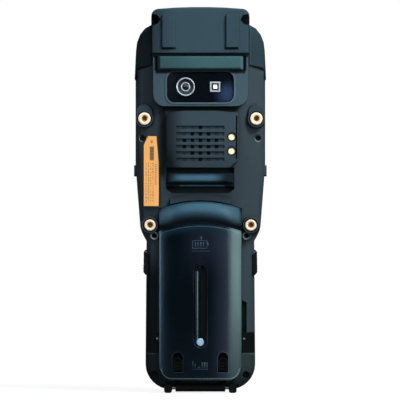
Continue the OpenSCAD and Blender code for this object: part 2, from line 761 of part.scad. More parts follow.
module speaker_panel() color("#1d272e") difference() {
    along_y(speaker_y, back_y) polygon([
        [panel_x0, speaker_z + 0.8], [panel_x0 + 0.8, speaker_z], [panel_x1 - 4.5, speaker_z],
        [panel_x1, speaker_z + 4], [panel_x1, speaker_top - 1.6], [panel_x1 - 1.2, speaker_top - 0.9],
        [9, speaker_top], [-9, speaker_top], [panel_x0 + 1, speaker_top - 0.8],
        [panel_x0, speaker_top - 1.6]]);
    for (k = [0:5]) slot_row(k);
    block(panel_x1 - 1.3, panel_x1 - 0.5, speaker_y - 1, speaker_y + 1.8, speaker_z + 4.6, speaker_top - 2.4);
    block(-driver_half, driver_half, back_y - 1.5, back_y + 1, driver_z0, driver_z1);
    contact_holes(contact_r + 0.02);
}
module slot_row(k) {
    z = slot_z0 + k * slot_pitch_z;
    block(-slot_half, slot_half, speaker_y - 1, speaker_y + slot_depth, z - slot_h / 2, z + slot_h / 2);
    for (i = [-2:2]) let (x = i * slot_pitch_x, pierced = 2 * abs(i) < DIAMOND[k])
        block(x - hole_half, x + hole_half, speaker_y - 1, pierced ? back_y : speaker_y + slot_depth + 0.3,
            z - slot_h / 2, z + slot_h / 2);
}
module speaker_mesh() color("#0c0f12") block(-driver_half + snug, driver_half - snug,
    back_y - 1.45, back_y - 1.15, driver_z0 + snug, driver_z1 - snug);
module speaker_driver() color("#50555a") difference() {
    block(-driver_half, driver_half, back_y - 0.9, back_y + 4.6, driver_z0, driver_z1);
    pin_y(0, (driver_z0 + driver_z1) / 2, 8.6, back_y - 2, back_y + 0.4);
}
module grip_contacts() color("#d9b86a") for (k = [0, 1]) {
    pin_y(contact_x, contact_z0 + k * contact_pitch, contact_r, speaker_y + 0.3, back_y - 0.02);
    pin_y(contact_x, contact_z0 + k * contact_pitch, contact_r - 0.42, back_y - 0.5, back_y + wall + 1);
}

// ---------- fasteners, label, strap bar, pins ----------

module threaded_inserts() color("#d8b48a") for (s = [-1, 1]) {
    threaded_insert(s * upper_x, upper_z, insert_r);
    threaded_insert(s * lower_x, lower_z, low_insert_r);
}
module threaded_insert(x, z, r) difference() {
    pin_y(x, z, r, boss_y - 0.15, boss_y + insert_len - 0.02);
    pin_y(x, z, thread_r, boss_y - 1, boss_y + insert_len + 1);
}
module housing_screws() color("#55595c") for (p = SCREWS) both() difference() {
    union() {
        pin_y(p[0], p[1], screw_head_r, screw_seat_y - 1.4, screw_seat_y);
        pin_y(p[0], p[1], screw_r, screw_seat_y - 0.5, screw_end_y);
    }
    translate([p[0], screw_seat_y - 0.8, p[1]]) rotate([90, 0, 0]) cylinder(r = 0.9, h = 2, $fn = 6);
}
module rating_label() color("#f0a555") on_slope() along_y(-0.4, -0.15) polygon([
    [0, label_z0], [label_w, label_z0], [label_w, label_z0 + label_h - 14],
    [label_w - 1.3, label_z0 + label_h], [2.4, label_z0 + label_h], [0, label_z0 + label_h - 4.6]]);
module bar_length(y, z0, z1, r) along_x(-well_half, well_half) polygon(rounded(y, bar_in_y, z0, z1, r));
// A ridge that slopes down to the housing at both ends, with a thin lip under it
module strap_bar() color("#2d4450") {
    intersection() {
        union() {
            bar_length(bar_top_y, bar_z + 1.2, bar_z + bar_h, 2);
            bar_length(back_y - 0.8, bar_z - 0.8, bar_z + 0.2, 0.4);
            bar_length(back_y + 0.1, bar_z, bar_z + 2, 0.2);
        }
        along_z(bar_z - 1, bar_z + bar_h + 1) polygon(mirrored(concat([[bar_end, bar_in_y + 1]],
            [for (a = [0:15:90]) [bar_flat + (bar_end - bar_flat) * cos(a),
                back_y + 0.1 - (back_y + 0.1 - bar_top_y) * sin(a)]])));
    }
    along_x(-well_half - 0.9, well_half + 0.9) polygon(rounded(back_y + 0.2, back_y + 3.3,
        bar_z + 1, bar_z + bar_h - 1, 0.8));
}
module hinge_pins() color("#8a8f94") {
    pin_x(barrel_y, barrel_z, hinge_pin_r, -rib_x - rib_w / 2 + 0.3, rib_x + rib_w / 2 - 0.3);
    both() pin_y(cover_pin_x, cover_pin_z, side_pin_r, cover_y0 - 1.5, cover_y1 + 1.5);
}

// ---------- boards, sockets, display ----------

module main_board() color("#1f5a3a") {
    block(-board_half, board_half, board_y, board_y + board_t, base_z + 8.5, board_neck_z + 0.5);
    block(-board_head_half, board_head_half, board_y, board_y + board_t, board_neck_z, board_top);
    for (c = CHIPS) block(c[0], c[1], board_y - c[2], board_y + 0.1, c[3], c[4]);
}
module dock_connector() color("#3a3d40") {
    block(-slot_w_half - 1, slot_w_half + 1, slot_y0 - 1.2, board_y, base_z + wall + 0.1, base_z + 10);
    block(-slot_w_half + 1, slot_w_half - 1, (slot_y0 + slot_y1) / 2 - 0.5, (slot_y0 + slot_y1) / 2 + 0.5,
        base_z + 0.6, base_z + wall + 1);
}
module usb_socket() color("#a9adb2") difference() {
    block(recess_x - 8, recess_x - 0.2, port_y - 1.65, port_y + 1.65, port_z - 4.2, port_z + 4.2);
    difference() {
        block(recess_x - 6.5, recess_x + 1, port_y - 1.25, port_y + 1.25, port_z - 3.8, port_z + 3.8);
        block(recess_x - 7, recess_x - 1, port_y - 0.35, port_y + 0.35, port_z - 3, port_z + 3);
    }
}
module audio_socket() color("#2a2a2c") difference() {
    union() {
        block(-recess_x + 3.2, -recess_x + 12, port_y - 2.9, board_y, port_z - 3.2, port_z + 3.2);
        pin_x(port_y, port_z, 2.8, -recess_x + 0.2, -recess_x + 4);
    }
    pin_x(port_y, port_z, 1.75, -recess_x - 1, -recess_x + 10.5);
}
module side_switches() color("#c9c9c4") both() {
    block(board_head_half - 3, side_inner - 4.4, side_key_y - 2, board_y, side_key_z - 2.5, side_key_z + 2.5);
    pin_x(side_key_y, side_key_z, 0.9, side_inner - 4.6, side_flange_x - side_flange_t - side_travel - 0.35);
}
module display_module() color("#3c4248") block(-module_half, module_half, module_y, glass_y - glass_t - 0.3,
    glass_z + 2.2, glass_z + glass_h - 4);
module cover_glass() color("#05070a") block(-glass_half, glass_half, glass_y - glass_t, glass_y,
    glass_z, glass_z + glass_h);
module indicator_lens() color("#7fd08a") for (x = [9, 12.5])
    pin_y(x, seam_z + 7.2, 0.83, inner_face_y, face_y - 0.1);
module battery_contacts() color("#d9b86a") for (x = [-6:4:6])
    pin_y(x, contact_row_z, 0.9, battery_y - 0.1, bay_y + floor_t + 0.6);

// ---------- keypad ----------

// Rows read from left to right as seen from the keypad side, where +X is on the left
function key_x(i) = (1 - i % 3) * key_pitch_x;
function key_z(i) = key_z0 + (3 - floor(i / 3)) * key_pitch_z;
module key_hole(x, z, w, h, r) along_y(inner_face_y - 1, face_y + 1)
    polygon(rounded(x - w / 2 - key_gap, x + w / 2 + key_gap, z - h / 2 - key_gap, z + h / 2 + key_gap, r));
module key_holes() {
    for (i = [0:11]) key_hole(key_x(i), key_z(i), key_w, key_h, 1.8);
    key_hole(0, scan_key_z, scan_key_w, scan_key_h, 4.2);
    key_hole(0, rocker_z, rocker_w, rocker_h, 3.2);
}
// A key's cap, over a flange that holds it behind the keypad face
module key_cap(x, z, w, h, r, proud, drop = 0) {
    along_y(flange_y - drop - 0.1, face_y + proud)
        polygon(rounded(x - w / 2, x + w / 2, z - h / 2, z + h / 2, r));
    block(x - w / 2 - flange_lip, x + w / 2 + flange_lip, flange_y - drop - flange_t, flange_y - drop,
        z - h / 2 - flange_lip, z + h / 2 + flange_lip);
}
module keypad_mat() color("#20262b") {
    block(-board_half, board_half, mat_y, mat_top_y, base_z + 9.6, scan_key_z + scan_key_h / 2 + 1);
    for (i = [0:11]) pin_y(key_x(i), key_z(i), 2.4, mat_top_y - 0.1, flange_y - flange_t - key_travel - 0.2);
    pin_y(0, scan_key_z, 3, mat_top_y - 0.1, flange_y - flange_t - key_travel - 0.2);
    for (s = [-1, 1]) pin_y(0, rocker_z + s * 4, 1.6, mat_top_y - 0.1,
        flange_y - rocker_drop - flange_t - 0.5);
}
module number_key(i) color("#3a4349") key_cap(key_x(i), key_z(i), key_w, key_h, 1.7, key_proud);
module scan_key() color("#e8902c") key_cap(0, scan_key_z, scan_key_w, scan_key_h, 4.1, key_proud + 0.1);
module nav_rocker() color("#3a4349") difference() {
    key_cap(0, rocker_z, rocker_w, rocker_h, 3.1, key_proud, rocker_drop);
    pin_x(face_y + key_proud + 5.2, rocker_z, 5.6, -rocker_w, rocker_w);
}

// ---------- battery ----------

// Depth of the crowned face at x, for a crest at depth y
function crown(x, y) = y + section_r - sqrt(pow(section_r, 2) - x * x);
module battery_body() intersection() {
    along_y(roll_y - 1, battery_y) polygon(bay_outline(0));
    union() {
        intersection() {
            along_z(battery_z - 1, battery_top) battery_section(crest_y);
            along_y(roll_y, battery_y) polygon(body_end());
        }
        battery_roll();
    }
}
// Up to the arched step under the roll
function body_end() = mirrored(concat([[battery_half + 1, battery_z - 2]],
    [for (i = [8:-1:0]) let (x = (battery_half + 1) * (i + 0.5) / 8.5) [x, arch_at(x) - roll_w - 1.1]]));
function arch_at(x) = arch_z + sqrt(pow(arch_r, 2) - x * x);
// The battery's crowned section, with its crest at depth y
module battery_section(y) intersection() {
    translate([0, y + section_r]) circle(r = section_r, $fn = 200);
    translate([-battery_half - 1, y - 1]) square([2 * battery_half + 2, battery_y - y + 1]);
}
// The arched roll at the upper end: half an ellipse over the crown, and a shallow valley below it
module battery_roll() {
    rise = concat([[-1, -roll_edge]], [for (a = [0:15:180])
        [roll_w / 2 * (1 - cos(a)), (crest_y - roll_y + valley_drop) * sin(a) - valley_drop]],
        [[roll_w + 2, -valley_drop]]);
    n = len(rise);
    across = 24;
    // Each station across the width is one closed section: the roll's skin, then the two back corners
    stations = [for (i = [0:across]) let (x = (battery_half + 1) * (2 * i / across - 1)) concat(
        [for (p = rise) [x, crown(x, crest_y) - p[1], arch_at(x) - p[0]]],
        [[x, battery_y, arch_at(x) - roll_w - 2], [x, battery_y, arch_at(x) + 1]])];
    m = n + 2;
    polyhedron([for (station = stations) each station], concat(
        [[for (k = [0:m - 1]) k], [for (k = [m - 1:-1:0]) across * m + k]],
        [for (i = [0:across - 1]) for (k = [0:m - 1]) let (l = (k + 1) % m, a = i * m, b = a + m)
            each [[a + l, a + k, b + k], [a + l, b + k, b + l]]]));
}
module battery_shell() color("#0b1015") difference() {
    battery_body();
    along_y(cavity_y, battery_y + 1) polygon(bay_outline(-battery_wall - 0.4));
    groove();
    pin_y(0, groove_z0 + groove_half - 0.2, lens_dot_r + 0.05, crest_y, crest_y + groove_depth + 2.2);
    both() latch_pocket();
}
module groove() {
    r = (pow(groove_half, 2) + pow(groove_depth, 2)) / (2 * groove_depth);
    y = crest_y + groove_depth - r;
    for (z = [groove_z0 + r, groove_z1 - r]) translate([0, y, z]) sphere(r = r, $fn = 64);
    translate([0, y, groove_z0 + r]) cylinder(r = r, h = groove_z1 - groove_z0 - 2 * r);
}
// A straight-sided outline with a round upper end
function arched(half, z0, z1) = concat([[latch_x - half, z0], [latch_x + half, z0]],
    arc(latch_x, z1 - half, half, 0, 180, 8));
module latch_pocket() {
    along_y(crest_y - 1, latch_in_y + loose)
        polygon(arched(latch_pocket_x, latch_z - 0.3, latch_z + latch_h + latch_travel + loose));
    block(latch_x - tongue_w / 2 - loose, latch_x + tongue_w / 2 + loose,
        latch_in_y - tongue_t - loose, latch_in_y + loose, battery_z - 2, latch_z + 2);
}
module latch() color("#27333b") {
    difference() {
        along_y(latch_y, latch_in_y) polygon(arched(latch_w / 2, latch_z, latch_z + latch_h));
        along_y(latch_y - 1, latch_y + 1.4)
            polygon(arched(latch_w / 2 - latch_rim, latch_z - 1, latch_z + latch_h - latch_rim));
    }
    for (k = [0:2]) block(latch_x - latch_w / 2 + latch_rim, latch_x + latch_w / 2 - latch_rim,
        latch_y + 0.8, latch_y + 1.6, latch_z + 0.7 + 1.6 * k, latch_z + 1.4 + 1.6 * k);
    block(latch_x - latch_w / 2 - 1, latch_x + latch_w / 2 + 1, cavity_y + 0.3, cavity_y + 1.3,
        latch_z - 1, latch_z + latch_h + latch_travel + 0.5);
    block(latch_x - tongue_w / 2, latch_x + tongue_w / 2, latch_in_y - tongue_t, latch_in_y,
        battery_z - tongue_reach, latch_z + 1);
}
module battery_base() color("#14191d") difference() {
    along_y(battery_y - base_t, battery_y) polygon(bay_outline(-battery_wall - 0.4 - snug));
    block(-9, 9, battery_y - 0.5, battery_y + 1, contact_row_z - 2.6, contact_row_z + 2.6);
}
module battery_cells() color("#4d6f8f") both()
    block(0.3, battery_half - battery_wall - 0.7, cavity_y + 0.3, battery_y - base_t - 0.2,
        latch_z + latch_h + 2 * latch_travel + 1, battery_top - 7);
module battery_pads() color("#d9b86a") for (x = [-6:4:6])
    block(x - 1.2, x + 1.2, battery_y - 0.5, battery_y - 0.3, contact_row_z - 2.2, contact_row_z + 2.2);
module charge_lens() color("#a8c4dc") pin_y(0, groove_z0 + groove_half - 0.2, lens_dot_r,
    crest_y + groove_depth - 0.5, crest_y + groove_depth + 2.1);

// ---------- side keys and covers ----------

// The key beside the display, on the +X side
module side_key() color("#2a343b") {
    along_x(side_flange_x - side_flange_t, head_half + side_key_proud - 0.2) polygon(rounded(
        side_key_y - side_key_d / 2, side_key_y + side_key_d / 2,
        side_key_z - side_key_h / 2, side_key_z + side_key_h / 2, 1.2));
    block(side_flange_x - side_flange_t, side_flange_x,
        side_key_y - side_key_d / 2 - 0.9, side_key_y + side_key_d / 2 + 0.9,
        side_key_z - side_key_h / 2 - 0.9, side_key_z + side_key_h / 2 + 0.9);
}
// The cover of a side port, on the +X side, hinged at its upper end, with a lip round the back edge
module side_cover() color("#1a2228") difference() {
    in_x = recess_x + 0.3;
    out_x = in_x + cover_t;
    foot = [[in_x, cover_z0 + 0.3], [in_x + 0.6, cover_z0], [out_x - 1.1, cover_z0 + 0.4],
        [out_x, cover_z0 + 1.6]];
    union() {
        along_y(cover_y0, cover_y1) union() {
            translate([cover_pin_x, cover_pin_z]) circle(r = 1.1);
            polygon(concat(foot, [[out_x, cover_pin_z], [cover_pin_x, cover_pin_z + 1.1],
                [cover_pin_x - 1.1, cover_pin_z], [in_x, cover_pin_z - 0.4]]));
        }
        along_y(cover_lip_y, cover_y0 + 0.5) polygon(concat(foot, [[out_x, cover_lip_z - 1.6],
            [out_x - 1.1, cover_lip_z], [in_x, cover_lip_z]]));
    }
    pin_y(cover_pin_x, cover_pin_z, side_pin_r + running, cover_y0 - 1, cover_y1 + 1);
}
module connector_cover() color("#11181d") difference() {
    union() {
        pin_x(barrel_y, barrel_z, barrel_r, -flap_half, flap_half);
        along_x(-flap_half, flap_half) polygon([
            [barrel_y, barrel_z - barrel_r], [flap_y1 + 0.8, flap_z0], [flap_y1 + 1.2, flap_z0 + 0.9],
            [barrel_y + 3, flap_z0 + 0.9], [barrel_y + 1.4, barrel_z - 0.4], [barrel_y, barrel_z]]);
    }
    pin_x(barrel_y, barrel_z, hinge_pin_r + running, -flap_half - 1, flap_half + 1);
}

back_housing();
front_housing();
bottom_bumper();
head_cap();
housing_seal();
cap_pads();
scan_window();
scan_engine();
window_visor();
camera_frame();
camera_window();
camera_ring();
camera_lens();
flash_led();
speaker_panel();
speaker_mesh();
speaker_driver();
grip_contacts();
threaded_inserts();
housing_screws();
rating_label();
strap_bar();
dock_connector();
hinge_pins();
usb_socket();
audio_socket();
side_switches();
main_board();
display_module();
cover_glass();
keypad_mat();
battery_contacts();
indicator_lens();
battery_shell();
battery_base();
battery_cells();
battery_pads();
charge_lens();
mirror([1, 0, 0]) latch();  // latch_left
latch();  // latch_right
mirror([1, 0, 0]) side_key();  // side_key_left
side_key();  // side_key_right
mirror([1, 0, 0]) side_cover();  // side_cover_left
side_cover();  // side_cover_right
connector_cover();
scan_key();
nav_rocker();
for (i = [0:11]) number_key(i);
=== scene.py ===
import json
import math

import bmesh
import bpy
from mathutils import Matrix, Vector
from mathutils.bvhtree import BVHTree

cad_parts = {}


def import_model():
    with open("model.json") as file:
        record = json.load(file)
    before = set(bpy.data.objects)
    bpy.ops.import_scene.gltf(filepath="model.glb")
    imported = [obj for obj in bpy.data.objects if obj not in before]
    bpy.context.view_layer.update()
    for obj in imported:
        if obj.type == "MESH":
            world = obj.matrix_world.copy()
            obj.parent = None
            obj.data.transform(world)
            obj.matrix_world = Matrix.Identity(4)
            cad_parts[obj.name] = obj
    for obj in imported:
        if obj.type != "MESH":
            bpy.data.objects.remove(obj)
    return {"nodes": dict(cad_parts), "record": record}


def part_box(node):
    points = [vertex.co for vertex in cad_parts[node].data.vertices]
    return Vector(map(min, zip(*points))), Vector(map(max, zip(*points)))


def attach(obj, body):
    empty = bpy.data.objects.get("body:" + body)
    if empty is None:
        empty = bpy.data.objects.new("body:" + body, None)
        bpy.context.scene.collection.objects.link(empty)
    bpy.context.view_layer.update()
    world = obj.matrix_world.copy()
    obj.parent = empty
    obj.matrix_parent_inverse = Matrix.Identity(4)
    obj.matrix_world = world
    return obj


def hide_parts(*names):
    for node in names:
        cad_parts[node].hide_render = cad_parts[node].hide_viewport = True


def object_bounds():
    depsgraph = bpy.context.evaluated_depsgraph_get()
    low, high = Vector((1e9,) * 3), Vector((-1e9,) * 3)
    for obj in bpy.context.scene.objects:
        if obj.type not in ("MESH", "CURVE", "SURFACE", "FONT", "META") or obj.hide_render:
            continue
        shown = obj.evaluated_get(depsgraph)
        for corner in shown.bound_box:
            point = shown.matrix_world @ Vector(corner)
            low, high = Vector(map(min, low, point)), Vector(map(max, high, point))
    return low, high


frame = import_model()
cad_low, cad_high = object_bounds()

MM = 0.001
BODY_OF = {node: body for body, nodes in frame["record"]["behaviour"]["bodies"].items() for node in nodes}
SLOT_OF = {part["node"]: part["material_slot"] for part in frame["record"]["subparts"]}
SHARP = math.radians(35)

# places on the rear that several functions share, in millimetres
EYE_X, FLASH_X, EYE_Z = -7.8, 7.8, 161.9
CONTACT_X, CONTACT_Z = 16.7, (128.1, 135.5)


# ---------- shader maths ----------

def colour(hex_code):
    """A written colour, as the linear values that a shader takes."""
    parts = [int(hex_code[i:i + 2], 16) / 255 for i in (1, 3, 5)]
    return (*[p / 12.92 if p < 0.04045 else ((p + 0.055) / 1.055) ** 2.4 for p in parts], 1)


class Signal:
    """A shader socket that Python arithmetic works on; each operation adds its Math node."""

    def __init__(self, finish, socket):
        self.finish = finish
        self.socket = socket

    def math(self, operation, *others):
        inputs = dict(enumerate((self, *others)))
        return self.finish.node("ShaderNodeMath", {"operation": operation}, inputs)

    def __add__(self, other):
        return self.math("ADD", other)

    __radd__ = __add__

    def __mul__(self, other):
        return self.math("MULTIPLY", other)

    __rmul__ = __mul__

    def __sub__(self, other):
        return self.math("SUBTRACT", other)

    def __rsub__(self, other):
        return self.finish.node("ShaderNodeMath", {"operation": "SUBTRACT"}, {0: other, 1: self})

    def __truediv__(self, other):
        return self.math("DIVIDE", other)

    def __pow__(self, other):
        return self.math("POWER", other)

    def __gt__(self, other):
        return self.math("GREATER_THAN", other)

    def __lt__(self, other):
        return self.math("LESS_THAN", other)

    def wave(self):
        return self.math("SINE")

    def size(self):
        return self.math("ABSOLUTE")

    def fraction(self):
        return self.math("FRACT")

    def between(self, low, high):
        return (self > low) * (self < high)

    def ramp(self, low, high):
        """0 below low, 1 above high and smooth between."""
        return self.finish.node("ShaderNodeMapRange", {"interpolation_type": "SMOOTHSTEP"},
                                {"Value": self, "From Min": low, "From Max": high})


# each finish's material by its name here, because Blender numbers a name that the CAD's materials have
MATERIALS = {}


class Finish:
    """One material, built node by node round its Principled shader."""

    def __init__(self, name, base, roughness, metallic=0.0, **constants):
        self.material = bpy.data.materials.new(name)
        MATERIALS[name] = self.material
        self.material.use_nodes = True
        self.material.diffuse_color = base
        self.tree = self.material.node_tree
        self.shader = self.tree.nodes["Principled BSDF"]
        self.base = base
        self.feed(Base_Color=base, Roughness=roughness, Metallic=metallic, **constants)
        self.place = self.node("ShaderNodeTexCoord", output="Object")
        self.x = self.node("ShaderNodeSeparateXYZ", {}, {0: self.place})
        axes = self.x.socket.node.outputs
        self.y = Signal(self, axes["Y"])
        self.z = Signal(self, axes["Z"])

    def node(self, kind, settings=None, inputs=None, output=0):
        """Adds a node; inputs take Signals as links and anything else as values."""
        made = self.tree.nodes.new(kind)
        for key, value in (settings or {}).items():
            setattr(made, key, value)
        for key, value in (inputs or {}).items():
            if isinstance(value, Signal):
                self.tree.links.new(value.socket, made.inputs[key])
            else:
                made.inputs[key].default_value = value
        return Signal(self, made.outputs[output])

    def feed(self, **sockets):
        """Sets or links the Principled shader's sockets, named with underscores for spaces."""
        for key, value in sockets.items():
            socket = self.shader.inputs[key.replace("_", " ")]
            if isinstance(value, Signal):
                self.tree.links.new(value.socket, socket)
            else:
                socket.default_value = value

    def mix(self, first, second, share):
        """The first colour, with a share of the second."""
        inputs = {0: share, 6: first, 7: second}
        return self.node("ShaderNodeMix", {"data_type": "RGBA"}, inputs, output=2)

    def shade(self, factor):
        """The base colour times a plain number."""
        return (*[c * factor for c in self.base[:3]], 1)

    def noise(self, per_metre, detail=3.0, roughness=0.55, stretch=(1, 1, 1)):
        place = self.node("ShaderNodeMapping", {}, {"Vector": self.place, "Scale": stretch})
        return self.node("ShaderNodeTexNoise", {}, {
            "Vector": place, "Scale": per_metre, "Detail": detail, "Roughness": roughness})

    def cells(self, per_metre, randomness=1.0):
        return self.node("ShaderNodeTexVoronoi", {}, {
            "Vector": self.place, "Scale": per_metre, "Randomness": randomness})

    def edges(self, reach):
        """1 along convex and concave edges, 0 on open faces."""
        rounded = self.node("ShaderNodeBevel", {"samples": 4}, {"Radius": reach})
        plain = self.node("ShaderNodeNewGeometry", output="Normal")
        along = self.node("ShaderNodeVectorMath", {"operation": "DOT_PRODUCT"}, {0: rounded, 1: plain},
                          output="Value")
        return (1 - along).ramp(0.005, 0.12)

    def sheltered(self, reach):
        """1 deep in slots, seams and wells, 0 on open faces."""
        clear = self.node("ShaderNodeAmbientOcclusion", {"samples": 8}, {"Distance": reach}, output="AO")
        return (1 - clear).ramp(0.22, 0.72)

    def bump(self, height, depth, strength=1.0):
        self.feed(Normal=self.node("ShaderNodeBump", {}, {
            "Strength": strength, "Distance": depth, "Height": height}))


# ---------- kinds of finish ----------

EDGE_REACH = 0.7 * MM
RECESS_REACH = 4.5 * MM
# how deep a moulded surface's grain is
SPARKED, SATIN, SMOOTH = 0.02 * MM, 0.01 * MM, 0.004 * MM


def plastic(name, hex_code, roughness, grain=SPARKED, wear_and_highlight=0.25, lift=1.5, recess_shade=0.85, zone=None, line=None,
            **constants):
    """Moulded plastic: a spark-eroded grain, slow colour drift, rubbed edges, painted shade in the
    recesses.

    lift is how pale rubbed edges turn; where wear is set high, the pale edges are also a painted highlight.
    zone and line are functions that give a mask: for painted shade, where the plastic is dull and nearly
    black, and for a painted highlight, where it is as pale as an edge.
    """
    finish = Finish(name, colour(hex_code), roughness, **constants)
    pale, dark = finish.shade(lift), finish.shade(0.08)
    drift = finish.noise(38, detail=4)
    speckle = finish.noise(900, detail=2)
    fine = finish.noise(2600, detail=2, roughness=0.6)
    smear = finish.noise(70, detail=5, stretch=(1, 1, 0.35))
    # edges pale from wear, and where wear is set high also a painted highlight
    rubbed_and_highlit = finish.edges(EDGE_REACH) * speckle.ramp(0.35, 0.62) * wear_and_highlight
    body = finish.mix(finish.shade(0.82), finish.shade(1.2), drift * 0.7 + speckle * 0.3)
    body = finish.mix(body, pale, rubbed_and_highlit)
    dull = roughness
    # painted shade, with a duller surface, where the zone says
    if zone:
        shaded = zone(finish)
        body = finish.mix(body, dark, shaded)
        dull = shaded * 0.3 + roughness
    # a painted highlight along the line
    if line:
        body = finish.mix(body, pale, line(finish))
    # painted shade deep in slots, seams and wells
    finish.feed(Base_Color=finish.mix(body, dark, finish.sheltered(RECESS_REACH) * recess_shade),
                Roughness=(fine - 0.5) * 0.12 + (smear - 0.5) * 0.16 - rubbed_and_highlit * 0.12 + dull)
    finish.bump(fine, grain)


def housing_shade(finish):
    """Painted shade on the back housing: beside the battery, left of the speaker, below the well, above the
    speaker.
    """
    x, z = finish.x, finish.z
    out = x.size()
    left_strip = (1 - x.ramp(-0.0235, -0.0205)) * (1 - z.ramp(0.06, 0.08))
    low_strips = (out > 0.0215) * (z < 0.0321)
    by_speaker = x.ramp(-0.0235, -0.0205) * (x < -0.0186)
    by_speaker = by_speaker * z.ramp(0.111, 0.117) * (1 - z.ramp(0.148, 0.154))
    below_well = z.ramp(0.1, 0.104) * (1 - z.ramp(0.1055, 0.1095)) * (1 - out.ramp(0.013, 0.019))
    above_speaker = z.ramp(0.1488, 0.1498) * (z < 0.152) * (1 - out.ramp(0.018, 0.021))
    return (left_strip * 0.95 * (1 - low_strips) + low_strips + by_speaker * 0.8 + below_well * 0.4
            + above_speaker * 0.9)


def painted_seam_highlight(finish):
    """A painted highlight along the edge where the housing meets the bumper."""
    return (finish.x.size() > 0.0222) * finish.z.between(0.0205, 0.0211) * 0.8


def left_shade(start, end, strength):
    """Painted shade that deepens towards the left, between two places in x."""
    return lambda finish: (1 - finish.x.ramp(start, end)) * strength


def panel_shade(finish):
    """Painted shade on the speaker panel's left side and foot, and a painted shadow ring round each
    contact.
    """
    across = (finish.x - CONTACT_X * MM) ** 2
    away = [(across + (finish.z - z * MM) ** 2) ** 0.5 for z in CONTACT_Z]
    ring = 1 - away[0].math("MINIMUM", away[1]).ramp(0.0021, 0.003)
    foot = (1 - finish.z.ramp(0.117, 0.134)) * 0.32
    return (1 - finish.x.ramp(-0.018, -0.007)) * 0.85 + ring * 0.8 + foot


def cap_shade(finish):
    """Painted shade on the cap: deeper to the left and over the wings, and dark in seams, notches and under
    pads.
    """
    x, z = finish.x, finish.z
    out = x.size()
    sides = (1 - x.ramp(-0.03, -0.012)) * 0.68 + x.ramp(0.008, 0.02) * 0.1
    wings = out.ramp(0.0255, 0.0275) * 0.42
    upright_seams = out.between(0.0254, 0.026) * (z < 0.1945)
    wing_feet = out.between(0.0256, 0.0336) * (z + out * 0.185 < 0.17845)
    below_pads = out.between(0.0128, 0.0202) * z.between(0.1815, 0.18265)
    from_notch = ((out - 0.0245) ** 2 + (z - 0.1971) ** 2) ** 0.5
    notches = 1 - from_notch.ramp(0.0019, 0.0026)
    return ((sides + wings).math("MINIMUM", 0.76) + upright_seams * 0.6 + wing_feet + below_pads * 0.9
            + notches * 1.2)


def frame_shade(finish):
    """Painted shade on the camera frame: a shadow under the visor, a dark band above it, a slightly darker
    left side.
    """
    under = finish.z.ramp(0.1684, 0.1697) * (finish.x.size() < 0.0236)
    above = finish.z > 0.1775
    left = (1 - finish.x.ramp(-0.026, -0.012)) * 0.14
    return (under + above) * 1.2 + left


def bar_shade(finish):
    """The strap bar: painted shade but for a painted highlight band along its crest and a thin one at its
    lower lip.
    """
    along = finish.x.ramp(-0.0188, -0.0085) * (1 - finish.x.ramp(0.005, 0.0145))
    crest = finish.z.ramp(0.1106, 0.113) * (1 - finish.z.ramp(0.114, 0.1163))
    lip = finish.z.between(0.1093, 0.1101) * finish.x.between(-0.011, 0.0128)
    return 1 - along * crest - lip * 0.8


def gloss_black(name, hex_code, roughness, painted_light=None):
    """Polished dark plastic: hairline scratches, thumb marks and paler rubbed edges, partly a painted
    highlight.

    The last argument is a function that takes the finish and its body colour and gives back the body with
    painted light, a mask of edges with a painted highlight, and what is added to the roughness.
    """
    finish = Finish(name, colour(hex_code), roughness, IOR=1.7, Specular_IOR_Level=0.65,
                    Specular_Tint=(0.5, 0.8, 1.0, 1.0))
    thumbs = finish.noise(55, detail=5, stretch=(1, 1, 0.5))
    hairs = finish.noise(420, detail=4, stretch=(1, 1, 0.06))
    fine = finish.noise(2400, detail=2)
    # rubbed edges, which are partly a painted highlight
    pale = finish.edges(EDGE_REACH) * thumbs.ramp(0.3, 0.7) * 0.6
    body = finish.mix(finish.shade(0.7), finish.shade(1.3), thumbs)
    dull = roughness
    # the piece's painted light: in the body colour, and as a painted highlight rim
    if painted_light:
        body, rim, duller = painted_light(finish, body)
        pale, dull = pale + rim, duller + roughness
    # the pale colour of rubbed edges and of painted edge highlights
    finish.feed(Base_Color=finish.mix(body, colour("#485a66"), pale),
                Roughness=(thumbs - 0.5) * 0.1 + (hairs - 0.5) * 0.06 + dull)
    finish.bump(hairs * 0.5 + fine * 0.5, 0.000003)


